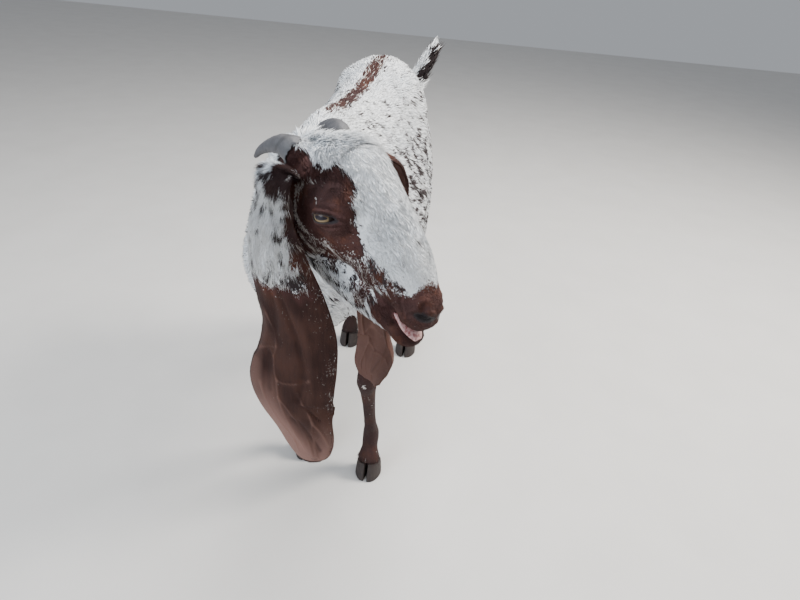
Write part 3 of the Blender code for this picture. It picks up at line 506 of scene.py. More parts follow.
def tube(name, rows, sides=20, closed_path=False):
    """A round tube along rows of x, y, z and radius."""
    made = bmesh.new()
    rings = []
    count = len(rows)
    side = Vector((0.31, 0.17, 0.93))
    for i, row in enumerate(rows):
        if closed_path:
            ahead, behind = rows[(i + 1) % count], rows[i - 1]
        else:
            ahead, behind = rows[min(i + 1, count - 1)], rows[max(i - 1, 0)]
        along = (Vector(ahead[:3]) - Vector(behind[:3])).normalized()
        across = (side - along * side.dot(along)).normalized()
        other = along.cross(across)
        side = across
        centre = Vector(row[:3])
        rings.append([made.verts.new(centre + across * (row[3] * math.cos(2 * math.pi * k / sides))
                                     + other * (row[3] * math.sin(2 * math.pi * k / sides)))
                      for k in range(sides)])
    pairs = list(zip(rings, rings[1:]))
    if closed_path:
        pairs.append((rings[-1], rings[0]))
    for lower, upper in pairs:
        for k in range(sides):
            n = (k + 1) % sides
            made.faces.new((lower[k], lower[n], upper[n], upper[k]))
    if not closed_path:
        made.faces.new(list(reversed(rings[0])))
        made.faces.new(rings[-1])
    bmesh.ops.recalc_face_normals(made, faces=made.faces)
    return as_piece(name, made)


# Eyes
def eye_axes(flip):
    """Centre, way of looking, line of the slit towards its front corner, and upwards, of one eye."""
    look = (LEFT * (flip * EYE_LOOK.y) + FORWARD * EYE_LOOK.x + UP * EYE_LOOK.z).normalized()
    ahead = FORWARD * math.cos(EYE_SLANT) + UP * math.sin(EYE_SLANT)
    ahead = (ahead - look * ahead.dot(look)).normalized()
    upward = look.cross(ahead) * -flip
    return box_middle("eye_left" if flip > 0 else "eye_right"), look, ahead, upward


def slit_outline(count):
    """The opening between the lids: along and up for each step round it, pointed at the front."""
    half_width, half_height = EYE_OPENING[0] / 2, EYE_OPENING[1] / 2
    line = []
    for k in range(count):
        turn = 2 * math.pi * k / count
        along = half_width * math.cos(turn)
        taper = 1 - 0.30 * math.cos(turn) ** 2 - 0.18 * max(0.0, math.cos(turn)) ** 3
        line.append((along, half_height * math.sin(turn) * taper))
    return line


def slit_cutter(flip):
    """The solid that cuts the opening between the lids."""
    centre, look, ahead, upward = eye_axes(flip)
    made = bmesh.new()
    rings = []
    for depth, wider in SLIT_RINGS:
        rings.append([made.verts.new(centre + look * depth + ahead * (a * wider)
                                     + upward * (b * wider - EYE_DROP))
                      for a, b in slit_outline(SLIT_STEPS)])
    for k in range(SLIT_STEPS):
        n = (k + 1) % SLIT_STEPS
        made.faces.new((rings[0][k], rings[0][n], rings[1][n], rings[1][k]))
    made.faces.new(rings[0])
    made.faces.new(rings[1])
    bmesh.ops.recalc_face_normals(made, faces=made.faces)
    return as_piece("slit", made)


def make_eyeball(flip):
    """The eyeball with its cornea, turned so that its pole looks out."""
    centre, look, ahead, upward = eye_axes(flip)
    piece = add_ball("eyeball_left" if flip > 0 else "eyeball_right", (0, 0, 0), (1, 1, 1), segments=64)
    local = places(piece)
    bulge = smooth_share(0.70, 1.0, local[:, 2]) * 0.07
    local *= (1 + bulge)[:, None]
    put_attribute(piece, "gaze", local)
    turn = np.array([ahead, upward, look])
    put_places(piece, np.array(centre) + (local * EYE_RADIUS) @ turn)
    face_outwards(piece)
    return piece


def make_lid_rim(flip):
    """The dark bare edge of the lids, a thin bead round the opening."""
    centre, look, ahead, upward = eye_axes(flip)
    rows = []
    for along, up in slit_outline(48):
        along, up = along * LID_EDGE_SPREAD, (up - EYE_DROP) * LID_EDGE_SPREAD
        reach = EYE_RADIUS + LID_EDGE_STAND
        out = math.sqrt(max(reach ** 2 - along ** 2 - up ** 2, (0.2 * reach) ** 2))
        rows.append((*(centre + ahead * along + upward * up + look * out), LID_EDGE_RADIUS))
    return tube("lid_rim_left" if flip > 0 else "lid_rim_right", rows, sides=8, closed_path=True)


# Line of the closed part of the mouth: forward, outward, up
MOUTH_LINE = [(0.160, 0.0275, -0.0820), (0.174, 0.0270, -0.0828), (0.186, 0.0245, -0.0832),
              (0.200, 0.0205, -0.0838)]
LIP_HEIGHT = [(0.150, -0.0820), (0.198, -0.0850), (0.235, -0.0900)]      # forward, up
LIP_HALF_WIDTH = 0.016


# Skin
def raise_along(points, outward, line, half_width, height):
    """Raises (or sinks, below 0) the surface along a line of places."""
    lift = height * np.clip(1 - (line_gap(points, line) / half_width) ** 2, 0, None) ** 2
    return points + outward * lift[:, None]


# Forms of the face: which sides (1 left, -1 right), half width, height, and a line forward, outward, up
FACE_FORMS = [
    ((1, -1), 0.0170, 0.0026, [(0.060, 0.047, -0.013), (0.080, 0.047, -0.008)]),
    ((1, -1), 0.0085, 0.0016, [(0.040, 0.0445, -0.0127), (0.056, 0.039, -0.0047), (0.076, 0.034, 0.0019),
                               (0.092, 0.0316, 0.0036)]),
    ((1, -1), 0.0050, -0.0014, [(0.034, 0.043, -0.006), (0.052, 0.035, 0.001), (0.074, 0.029, 0.0075),
                                (0.094, 0.026, 0.0085)]),
    ((1, -1), 0.0055, -0.0014, [(0.045, 0.050, -0.022), (0.052, 0.053, -0.040), (0.066, 0.055, -0.052)]),
    ((1, -1), 0.0100, 0.0018, [(0.086, 0.052, -0.050), (0.115, 0.043, -0.048), (0.150, 0.036, -0.056)]),
    ((1, -1), 0.0055, -0.0014, [(0.118, 0.045, -0.014), (0.130, 0.041, -0.020), (0.152, 0.036, -0.026)]),
    ((1, -1), 0.0070, -0.0020, [(0.120, 0.036, -0.076), (0.150, 0.033, -0.076), (0.168, 0.030, -0.078)]),
    ((1, -1), 0.0035, -0.0026, MOUTH_LINE),
    ((1, -1), 0.0045, 0.0016, [(0.172, 0.0290, -0.0770), (0.186, 0.0265, -0.0770), (0.200, 0.0235, -0.0770),
                               (0.216, 0.0190, -0.0790)]),
    ((1, -1), 0.0045, 0.0012, [(0.168, 0.0270, -0.0885), (0.186, 0.0230, -0.0900),
                               (0.204, 0.0185, -0.0930)]),
    ((1, -1), 0.0045, -0.0016, [(0.203, 0.026, -0.038), (0.209, 0.027, -0.054), (0.217, 0.023, -0.066)]),
    ((1, -1), 0.0048, 0.0018, [(0.2410, 0.0050, -0.0465), (0.2360, 0.0140, -0.0455),
                               (0.2265, 0.0225, -0.0485), (0.2230, 0.0245, -0.0550)]),
    ((1, -1), 0.0045, 0.0010, [(0.2410, 0.0060, -0.0625), (0.2340, 0.0150, -0.0640),
                               (0.2260, 0.0220, -0.0620)]),
    ((-1,), 0.0070, 0.0008, [(0.078, 0.030, 0.028), (0.088, 0.020, 0.0335), (0.100, 0.013, 0.034),
                             (0.113, 0.011, 0.031), (0.127, 0.014, 0.024)]),
    ((1,), 0.0018, -0.0020, [(0.236, 0.000, -0.056), (0.243, 0.000, -0.066), (0.242, 0.000, -0.082)]),
]


def shape_lids(points, outward):
    """Raises the edges of the lids, with a crease above and below and a groove at the front corner."""
    for flip in (1, -1):
        centre, look, ahead, upward = (np.array(v) for v in eye_axes(flip))
        away = points - centre
        along, rise, out = away @ ahead, away @ upward + EYE_DROP, away @ look
        near = (np.linalg.norm(away, axis=1) < 0.034) & (out > 0)
        reach = np.hypot(along / (EYE_OPENING[0] / 2 + 0.001), rise / (EYE_OPENING[1] / 2 + 0.001))
        wide = np.hypot((along - 0.001) / 0.0225, rise / 0.0105)
        upper = rise > 0
        edge = np.exp(-((reach - 1.30) / 0.26) ** 2) * np.where(upper, 0.0014, 0.0009)
        crease = -np.exp(-((wide - 1.0) / 0.16) ** 2) * np.where(upper, 0.0004, 0.0005)
        fold = np.exp(-((wide - 1.32) / 0.20) ** 2) * np.where(upper, 0.0004, 0.0003)
        corner = np.hypot((along - 0.0205) / 0.0060, (rise + 0.0012) / 0.0016)
        groove = -0.0014 * np.exp(-corner ** 2)
        lift = np.where(near, edge + crease + fold + groove, 0.0)
        points = points + outward * lift[:, None]
    return points


def smooth_trunk(skin):
    """Evens out the steps where shoulder, haunch and neck meet the trunk."""
    points = places(skin)
    _, y, z = (points - SHIFT).T
    group_points(skin, "trunk", (past_neck(points) < -0.03) & (z > 0.45) & (y < 0.50))
    modify(skin, "SMOOTH", factor=0.5, iterations=TRUNK_SMOOTHING, vertex_group="trunk")
    skin.vertex_groups.clear()


def make_skin():
    """One closed skin over trunk, neck, head and legs, with lids, nostrils and the folds of the face."""
    skin = merged_copy("skin", FLESH + EYES, SEAM)
    skin = join([skin, tube("tail_core", [(*drawn(row[:3]), row[3]) for row in spline(TAIL, 4)])])
    modify(skin, "REMESH", mode="VOXEL", voxel_size=SKIN_VOXEL)
    modify(skin, "SMOOTH", factor=0.5, iterations=SKIN_SMOOTHING)
    lids = [add_ball("lids", eye_axes(flip)[0], (EYE_RADIUS + LID_THICKNESS,) * 3, segments=40)
            for flip in (1, -1)]
    skin = join([skin, *lids])
    modify(skin, "REMESH", mode="VOXEL", voxel_size=SKIN_VOXEL)
    modify(skin, "SMOOTH", factor=0.5, iterations=LID_SMOOTHING)
    smooth_trunk(skin)

    points = places(skin)
    outward = normals(skin)
    points -= outward * coat_depth(points)[:, None]
    for sides, half_width, height, line in FACE_FORMS:
        for flip in sides:
            world = [head_place(f, flip * l, u) for f, l, u in line]
            points = raise_along(points, outward, world, half_width, height)
    points = shape_lids(points, outward)
    put_places(skin, points)

    group_points(skin, "coarse", past_neck(points) <= 0)
    triangles = sum(len(face.vertices) - 2 for face in skin.data.polygons)
    modify(skin, "DECIMATE", ratio=SKIN_TRIANGLES / triangles, vertex_group="coarse",
           vertex_group_factor=4.0)
    skin.vertex_groups.clear()

    for flip in (1, -1):
        cut(skin, slit_cutter(flip))
        centre = eye_axes(flip)[0]
        cut(skin, add_ball("socket", centre, (EYE_RADIUS + 0.0002,) * 3, segments=48))
        inner, along, upward, out = nostril_axes(flip)
        turn = Matrix((along, upward, out)).transposed().to_4x4()
        middle = inner + along * NOSTRIL_SHIFT - out * NOSTRIL_SHIFT
        cut(skin, add_ball("nostril", middle, NOSTRIL_RADII, turn, segments=32))
    modify(skin, "TRIANGULATE")
    return skin


def coat_depth(points):
    """How deep the skin lies under the outside of the coat."""
    forward, angle, _ = round_head(points)
    depth = TRUNK_COAT - LEG_THINNER * smooth_share(0.50, 0.30, points[:, 2])
    head = smooth_share(-0.02, 0.03, past_neck(points))
    face = FACE_COAT + CROWN_THICKER * smooth_share(0.07, 0.01, forward) * smooth_share(70, 40, angle)
    face = face - NOSE_THINNER * smooth_share(0.17, 0.21, forward)
    return depth * (1 - head) + face * head


# Markings: signed depths (mm) into the brown, and shares from 0 to 1
def edge_depth(x, table):
    """Reads a table of (x, value...) rows at x."""
    rows = np.array(table, float)
    return [np.interp(x, rows[:, 0], rows[:, k]) for k in range(1, rows.shape[1])]


def head_marks(points):
    """Markings of the head, from how far forward and at what angle round it a place lies."""
    forward, angle, radius = round_head(points)
    # Brown: the patch round the eye, the muzzle, the cheek between them, and a blotch low on the cheek
    top, bottom = edge_depth(forward, EYE_PATCH)
    arc = radius * 1000 * math.pi / 180
    patch = np.minimum((angle - top) * arc, (bottom - angle) * arc)
    patch = np.minimum(patch, (0.150 - forward) * 1000)
    muzzle = (forward - edge_depth(angle, MUZZLE_EDGE)[0]) * 1000
    brown = np.maximum(patch, muzzle * 0.8)
    cheek = smooth_share(0.100, 0.135, forward) * smooth_share(60, 74, angle)
    cheek = cheek * smooth_share(0.22, 0.20, forward)
    cheek = cheek * (1 - 0.55 * smooth_share(100, 140, angle))
    brown = np.maximum(brown, -8.0 + 8.6 * cheek)
    blotch = smooth_share(0.100, 0.118, forward) * smooth_share(0.182, 0.160, forward)
    below = np.interp(forward, [0.110, 0.150], [148, 166])
    blotch = blotch * smooth_share(82, 96, angle) * smooth_share(0, -14, angle - below)
    brown = np.maximum(brown, -8.0 + 11.5 * blotch)
    # Dark flecks: on the cheek, along the jaw and beside the nose
    jaw_side = smooth_share(100, 120, angle) * smooth_share(0.035, 0.070, forward)
    jaw_side = jaw_side * smooth_share(0.20, 0.17, forward)
    fleck = np.maximum(0.84 * cheek, 0.74 * jaw_side)
    fleck = np.maximum(fleck, 0.16 * smooth_share(0.14, 0.19, forward) * smooth_share(10, 40, angle))
    # Black in the brown: the patch's edge and back, the muzzle, and the brow; at the back it is dark hair
    # and painted shade
    black = smooth_share(5, 0, patch) * 0.8 * smooth_share(-3, 0, patch)
    # Dark hair and painted shade at the back of the head, where the ear meets the face
    black = np.maximum(black, smooth_share(0.040, 0.012, forward) * smooth_share(60, 85, angle))
    black = np.maximum(black, 0.22 * smooth_share(14, 24, muzzle))
    brow = smooth_share(0.045, 0.058, forward) * smooth_share(0.105, 0.080, forward)
    brow = brow * smooth_share(76, 60, angle)
    black = np.maximum(black, 0.42 * brow * smooth_share(6, 14, patch))
    # White hairs in the brown: on the cheek, in the blotch, and along the lines
    nick = smooth_share(92, 112, angle) * smooth_share(0.045, 0.080, forward)
    nick = nick * 0.50 * smooth_share(0.16, 0.13, forward)
    nick = np.maximum(nick, 0.52 * blotch)
    for line, half_width, share in WHITE_HAIR_LINES:
        away = line_distance(forward, angle, line)
        nick = np.maximum(nick, share * smooth_share(half_width * 1.6, half_width * 0.5, away))
    return brown, fleck, black, nick


def line_distance(forward, angle, line):
    """Distance (mm) on the head from a line of places given as forward and angle round the head."""
    at = np.stack([forward * 1000, angle * DEGREE_ARC], axis=1)
    return line_gap(at, np.array(line, float) * (1000, DEGREE_ARC))


def body_marks(points):
    """Markings of neck, trunk and legs, from their drawn places."""
    x, y, z = (points - SHIFT).T
    # Brown: a stripe along the back, the forelegs, and the feet of the hind legs
    spine = np.interp(y, [0.02, 0.10, 0.25, 0.40, 0.50], [-0.004, -0.009, -0.014, -0.010, -0.008])
    width = np.interp(y, [0.00, 0.06, 0.20, 0.42, 0.47], [-8.0, 11.0, 14.5, 13.0, -8.0])
    stripe = np.where(z > 0.70, width - np.abs(x - spine) * 1000, NO_BROWN)
    brown = np.maximum(NO_BROWN, stripe)
    foreleg = (y < 0.20) & (z < 0.60)
    high_edge = 0.445 + 0.3 * (np.abs(x) - 0.09) - 2.2 * np.clip(y - 0.085, 0, None)
    brown = np.maximum(brown, np.where(foreleg, (high_edge - z) * 1000, NO_BROWN))
    hind = (y > 0.30) & (z < 0.5)
    brown = np.maximum(brown, np.where(hind, (0.150 - z) * 1000, NO_BROWN))
    # Dark flecks: fewest on the neck and the chest, and fewer on the back than on the flanks
    high = smooth_share(0.62, 0.72, z)
    fleck = 0.44 + 0.26 * smooth_share(0.05, 0.12, np.abs(x)) * smooth_share(0.00, 0.12, y) - 0.14 * high
    fleck = fleck * smooth_share(-0.14, -0.02, y) + 0.06
    # Black and white hairs in the brown
    black = np.where(hind, 0.85, 0.45 + 0.20 * smooth_share(0.40, 0.20, z))
    black = np.where(stripe > -8, 0.30, black)
    nick = np.where(stripe > -8, 0.46, 0.04)
    callus = np.linalg.norm(points - SHIFT - KNEE_CALLUS, axis=1)
    nick = np.maximum(nick, 1.1 * smooth_share(0.0085, 0.0045, callus))
    return brown, fleck, black, nick


def marks(points):
    """Depth into the brown, share of dark flecks, blackness of the brown and share of white hairs in it."""
    head = smooth_share(-0.012, 0.012, past_neck(points))
    return [a * head + b * (1 - head) for a, b in zip(head_marks(points), body_marks(points))]


def nostril_axes(flip):
    """Middle of one nostril, the way its slit runs outwards, up, and out of the nose."""
    inner, outer = (head_place(f, flip * l, u) for f, l, u in (NOSTRIL, NOSTRIL_END))
    along = (outer - inner).normalized()
    out = (FORWARD * 0.75 + LEFT * (flip * 0.66)).normalized()
    out = (out - along * out.dot(along)).normalized()
    return inner, along, out.cross(along) * flip, out


def bareness(points):
    """How bare and dark the skin is at nostrils, lips and lids, and how pink inside the lips."""
    forward, left, up = in_head(points)
    dark = np.zeros(len(points))
    for flip in (1, -1):
        centre, along, upward, _ = (np.array(v) for v in nostril_axes(flip))
        away = points - centre
        round_slit = np.hypot((away @ along) / 0.0125, (away @ upward) / 0.0058)
        near = np.linalg.norm(away, axis=1) < 0.018
        dark = np.maximum(dark, smooth_share(1.25, 0.85, round_slit) * near)
        centre, _, ahead, upward = (np.array(v) for v in eye_axes(flip))
        away = points - centre
        along, rise = away @ ahead, away @ upward + EYE_DROP
        ring = np.hypot(along / (EYE_OPENING[0] / 2), rise / (EYE_OPENING[1] / 2))
        near = np.linalg.norm(away, axis=1) < 0.024
        dark = np.maximum(dark, smooth_share(1.45, 1.10, ring) * near)
    for side in (1, -1):
        gap = line_gap(points, [head_place(f, side * l, u) for f, l, u in MOUTH_LINE])
        dark = np.maximum(dark, smooth_share(0.0030, 0.0014, gap))
    above_lips = np.abs(up - edge_depth(forward, LIP_HEIGHT)[0])
    pink = smooth_share(0.198, 0.206, forward) * smooth_share(0.0035, 0.0015, above_lips)
    return dark, pink * (np.abs(left) < LIP_HALF_WIDTH)


def put_marks(piece, brown, fleck, black, nick, root):
    """Stores what coat_colour reads: the markings, and the place of each point in its patterns."""
    for name, values in (("brown", brown), ("fleck", fleck), ("black", black), ("nick", nick),
                         ("root", root)):
        put_attribute(piece, name, values)


def mark_piece(piece, points):
    """Stores the markings on a skin by its points, or on tufts by their roots."""
    head = smooth_share(-0.05, 0.02, past_neck(points))
    put_marks(piece, *marks(points), points * (BODY_PATTERN + (1 - BODY_PATTERN) * head)[:, None])


# Coat
def lie_of_coat(points):
    """The way the hair lies, before it is laid along the surface."""
    forward, angle, _ = round_head(points)
    left = in_head(points)[1]
    top = past_neck(points)
    base = past_plane(points, NECK_BASE, NECK_BASE_NORMAL)
    drop = smooth_share(35, 110, angle)[:, None]
    side = (np.sign(left) * smooth_share(0.004, 0.03, np.abs(left)))[:, None]
    face = np.array(FORWARD) - np.array(UP) * (0.55 * drop) + np.array(LEFT) * (side * (1 - drop) * 0.35)
    down_neck = -unit(np.array(NECK_TOP_NORMAL, float)) + np.array((0, 0, -0.35))
    whorl = smooth_share(-0.048, -0.020, forward)[:, None]
    face = unit(face) * whorl + unit(down_neck) * (1 - whorl)
    local = points - SHIFT
    spread = np.clip(local[:, :1] / 0.13, -1, 1)
    trunk = np.hstack([spread * 0.30, np.full_like(spread, 0.85), -0.15 - 0.55 * np.abs(spread)])
    leg = smooth_share(0.52, 0.38, local[:, 2])[:, None]
    trunk = unit(trunk) * (1 - leg) + np.array((0, 0.12, -1.0)) * leg
    head_share = smooth_share(-0.02, 0.02, top)[:, None]
    neck_share = smooth_share(-0.04, 0.04, base)[:, None]
    body = unit(down_neck) * neck_share + unit(trunk) * (1 - neck_share)
    return unit(face * head_share + body * (1 - head_share))


def crown_share(points):
    """How much a place belongs to the shaggy crown between the horns."""
    forward, angle, _ = round_head(points)
    share = smooth_share(0.070, 0.020, forward) * smooth_share(58, 30, angle)
    share = share * smooth_share(-0.055, -0.030, forward)
    for flip in (1, -1):
        horn = np.array(head_place(-0.004, flip * 0.037, -0.002))
        share = share * smooth_share(0.020, 0.034, np.linalg.norm(points - horn, axis=1))
    return share


def hair_length(points):
    forward, angle, _ = round_head(points)
    head = smooth_share(-0.02, 0.02, past_neck(points))
    face = FACE_HAIR + BLAZE_LONGER * smooth_share(50, 28, angle) + CROWN_LONGER * crown_share(points)
    face = face + JAW_LONGER * smooth_share(95, 125, angle)
    face = face * (1 - NOSE_SHARE * smooth_share(0.165, 0.222, forward))
    for flip in (1, -1):
        away = np.linalg.norm(points - np.array(eye_axes(flip)[0]), axis=1)
        face = face - EYE_SHORTER * smooth_share(0.042, 0.022, away)
    z = points[:, 2]
    body = LONG_HAIR - LEG_SHORTER * smooth_share(0.46, 0.30, z)
    body = body - FOOT_SHORTER * smooth_share(0.16, 0.08, z)
    body = body + CORONET_LONGER * smooth_share(0.062, 0.050, z)
    return np.maximum(face * head + body * (1 - head), SHORTEST_HAIR)


def drift(points):
    """A slow waver, the same at the same place, that turns the lie of the coat a little."""
    rng = np.random.default_rng(23)
    total = np.zeros(len(points))
    for _ in range(6):
        way = unit(rng.normal(0, 1, 3)) * rng.uniform(180, 420)
        total += np.sin(points @ way + rng.uniform(0, 6.3))
    return total / 6


def tuft_faces(bends):
    """Triangles of one tuft: the root's end, the sides between the rings, and the sides up to the tip."""
    faces = [(0, 2, 1)]
    for ring in range(bends):
        a = ring * 3
        for k in range(3):
            n = (k + 1) % 3
            faces.append((a + k, a + n, a + 3 + n))
            faces.append((a + k, a + 3 + n, a + 3 + k))
    last = bends * 3
    for k in range(3):
        faces.append((last + k, last + (k + 1) % 3, last + 3))
    return np.array(faces)


def triangle_mesh(name, points, index):
    """A mesh from its points and the three corners of each triangle in turn."""
    data = bpy.data.meshes.new(name)
    data.vertices.add(len(points))
    data.vertices.foreach_set("co", points.astype(np.float32).ravel())
    data.loops.add(len(index))
    data.loops.foreach_set("vertex_index", index.astype(np.int32))
    data.polygons.add(len(index) // 3)
    data.polygons.foreach_set("loop_start", np.arange(0, len(index), 3, dtype=np.int32))
    data.update(calc_edges=True)
    return data


def hair_mesh(name, roots, outward, lie, length, width, lift, uv, rng, bends=1):
    """Closed tapered tufts: flat three-sided blades from root to tip, as one mesh with its unwrap."""
    count = len(roots)
    lie = lie + rng.normal(0, 0.075, (count, 3))
    lie = unit(lie - outward * (lie * outward).sum(1, keepdims=True))
    waver = WAVER * np.minimum(length / LONG_HAIR, LONG_HAIR / length)
    lie = unit(lie + np.cross(outward, lie) * (waver * drift(roots))[:, None])
    side = np.cross(outward, lie)
    length = (length * rng.uniform(0.75, 1.25, count))[:, None]
    width = (width * rng.uniform(0.8, 1.2, count))[:, None]
    lift = (lift * rng.uniform(0.6, 1.4, count))[:, None]
    curl = rng.normal(0, 0.09, (count, 1))
    steps = np.linspace(0, 1, bends + 2)[:-1]
    rings = []
    for step in steps:
        rise = length * lift * step * (1.25 - 0.55 * step)
        centre = roots - outward * ROOT_DEPTH + lie * (length * step) + outward * rise
        centre = centre + side * (length * curl * step ** 2)
        half = width * (0.5 if step else 0.36) * (1 - 0.75 * max(0.0, step - 0.35))
        rings.append(centre - side * half)
        rings.append(centre + side * half)
        rings.append(centre + outward * half * 0.55)
    tip = roots + lie * length + outward * (length * lift * 0.70) + side * (length * curl)
    corners = np.stack(rings + [tip], axis=1)
    per = corners.shape[1]
    index = (np.arange(count)[:, None, None] * per + tuft_faces(bends)[None]).reshape(-1)
    data = triangle_mesh(name, corners.reshape(-1, 3), index)
    share = np.repeat(np.append(steps, 1.0), [3] * len(steps) + [1])
    across = np.append(np.tile([-0.5, 0.5, 0.0], len(steps)), 0.0)
    patch = np.stack([across, share - 0.5], axis=1) * TUFT_PATCH
    flat = (uv[:, None, :] + patch[None]).reshape(-1, 2)
    layer = data.uv_layers.new(name="OFBake")
    layer.data.foreach_set("uv", flat[index].astype(np.float32).ravel())
    piece = add_object(name, data)
    data.shade_smooth()
    put_attribute(piece, "shade", np.repeat(rng.random(count), per))
    put_attribute(piece, "share", np.tile(share, count))
    return piece, per


def unwrap(piece, faces):
    """Corner places on an unwrap of some of the faces' own shape, packed into one square."""
    index = read_triangles(piece)[faces]
    used, compact = np.unique(index, return_inverse=True)
    data = bpy.data.meshes.new("unwrap")
    data.from_pydata(places(piece)[used].tolist(), [], compact.reshape(-1, 3).tolist())
    sheet = add_object("unwrap", data)
    data.uv_layers.new(name="OFBake")
    select_only(sheet)
    bpy.ops.object.mode_set(mode="EDIT")
    bpy.ops.mesh.select_all(action="SELECT")
    bpy.ops.uv.smart_project(angle_limit=math.radians(66), island_margin=0.004)
    bpy.ops.object.mode_set(mode="OBJECT")
    flat = read(data.uv_layers["OFBake"].data, "uv", 2).reshape(-1, 3, 2)
    bpy.data.objects.remove(sheet, do_unlink=True)
    return flat


def read_triangles(piece):
    """The corners of each triangle of a piece."""
    index = np.empty(len(piece.data.loops), np.int32)
    piece.data.loops.foreach_get("vertex_index", index)
    return index.reshape(-1, 3)


def grow(name, skin, faces, count, width, lift, rng, bends=1):
    """Grows one piece of the coat from some of the skin's faces."""
    triangles = read_triangles(skin)[faces]
    points, outward = places(skin), normals(skin)
    flat = unwrap(skin, faces)
    a, b, c = (points[triangles[:, k]] for k in range(3))
    centre = (a + b + c) / 3
    weight = np.linalg.norm(np.cross(b - a, c - a), axis=1)
    weight = weight / hair_length(centre) ** 1.2
    weight = weight * keep_share(centre)
    reach = np.cumsum(weight) / weight.sum()
    pick = np.searchsorted(reach, (np.arange(count) + rng.random(count)) / count).clip(0, len(faces) - 1)
    p, q = rng.random((2, count))
    over = p + q > 1
    p[over], q[over] = 1 - p[over], 1 - q[over]
    share = np.stack([1 - p - q, p, q], axis=1)[:, :, None]
    roots = (points[triangles[pick]] * share).sum(1)
    up = unit((outward[triangles[pick]] * share).sum(1))
    uv = (flat[pick] * share).sum(1)
    length = hair_length(roots)
    wide = width * (length / 0.016) ** 0.5
    lift = lift + 0.16 * crown_share(roots) + 0.30 * smooth_share(0.062, 0.050, roots[:, 2])
    piece, per = hair_mesh(name, roots, up, lie_of_coat(roots), length, wide, lift, uv, rng, bends)
    mark_piece(piece, np.repeat(roots, per, axis=0))
    return piece


def keep_share(points):
    """Where hair grows: none on nostrils, lid edges and the inside of the mouth."""
    dark, pink = bareness(points)
    return 1 - np.clip(dark + pink * 1.5, 0, 1)


# Ears
def ear_grid(flip):
    """Places and outward directions over one ear's curled sheet, and shares across it."""
    dense = spline([(*place, *sizes) for place, *sizes in (EAR_LEFT if flip > 0 else EAR_RIGHT)], EAR_STEPS)
    middle = dense[:, :3] + SHIFT
    along = unit(np.gradient(middle, axis=0))
    compass = np.radians(dense[:, 6])
    across = np.stack([np.cos(compass), np.sin(compass), np.zeros(len(dense))], axis=1)
    across = unit(across - along * (across * along).sum(1, keepdims=True))
    outward = np.cross(along, across) * -flip
    radius = (dense[:, 3] / dense[:, 4])[:, None]
    share = np.linspace(-1, 1, EAR_COLUMNS + 1)[None, :]
    turn = share * dense[:, 4:5] / 2
    sheet = (middle[:, None, :] + across[:, None, :] * (radius * np.sin(turn))[:, :, None]
             - outward[:, None, :] * (dense[:, 5:6] * radius * (1 - np.cos(turn)))[:, :, None])
    down = np.gradient(sheet, axis=0)
    over = np.gradient(sheet, axis=1)
    normal = unit(np.cross(down, over)) * -flip
    return sheet, normal, share


def sheet_distance(down, across, line):
    """Distance (mm) over an ear's sheet from a line of places given as shares down and across it."""
    at = np.stack([down.ravel(), across.ravel()], axis=1) * EAR_SPAN
    return line_gap(at, np.array(line, float) * EAR_SPAN).reshape(down.shape)


def ear_relief(down, across, lines):
    """Height of grooves, ridges and veins over the ear, from its shares down and across."""
    height = np.zeros_like(down)
    for rise, half_width, line in lines:
        dense = spline(line, 5) if len(line) > 2 else line
        height += rise * np.exp(-(sheet_distance(down, across, dense) / half_width) ** 2)
    return height


def make_ear(flip):
    """One ear: a thin curled sheet with thicker middle, thin rims, folds and veins."""
    sheet, normal, share = ear_grid(flip)
    rows, columns = sheet.shape[:2]
    down = np.repeat(np.linspace(0, 1, rows)[:, None], columns, axis=1)
    across = np.repeat(share, rows, axis=0)
    rim = np.minimum(smooth_share(1.0, 0.80, np.abs(across)), smooth_share(1.0, 0.955, down))
    thick = EAR_RIM + EAR_THICKER * rim
    veins = ear_relief(down, across, EAR_VEINS[flip]) * rim
    folds = ear_relief(down, across, EAR_FOLDS[flip]) * rim
    outer = sheet + normal * (thick / 2 + folds + veins * (1.0 if flip < 0 else 0.3))[:, :, None]
    inner = sheet - normal * (thick / 2 - folds + veins * (0.3 if flip < 0 else 1.0))[:, :, None]
    corners = np.concatenate([outer.reshape(-1, 3), inner.reshape(-1, 3)])
    offset = rows * columns
    index = np.arange(rows * columns).reshape(rows, columns)
    a, b, c, d = index[:-1, :-1], index[:-1, 1:], index[1:, 1:], index[1:, :-1]
    faces = np.stack([a, b, c, d], axis=-1).reshape(-1, 4)
    back = faces[:, ::-1] + offset
    border = np.concatenate([index[0, :], index[1:, -1], index[-1, -2::-1], index[-2:0:-1, 0]])
    after = np.roll(border, -1)
    wall = np.stack([after, border, border + offset, after + offset], axis=1)
    data = bpy.data.meshes.new("ear")
    data.from_pydata(corners.tolist(), [], np.concatenate([faces, back, wall]).tolist())
    ear = add_object("ear_skin_left" if flip > 0 else "ear_skin_right", data)
    face_outwards(ear)
    data.shade_smooth()
    face = np.concatenate([np.ones(offset), np.zeros(offset)])
    twice = [np.tile(values.ravel(), 2) for values in (down, across)]
    put_ear_marks(ear, flip, corners, *twice, face)
    # Height of veins and folds, which ear_finish paints as highlight on ridges and shade in grooves
    put_attribute(ear, "vein_and_fold_height", np.tile((veins * 1000 + folds * 350).ravel(), 2))
    return ear, (sheet + normal * folds[:, :, None], normal, down, across)


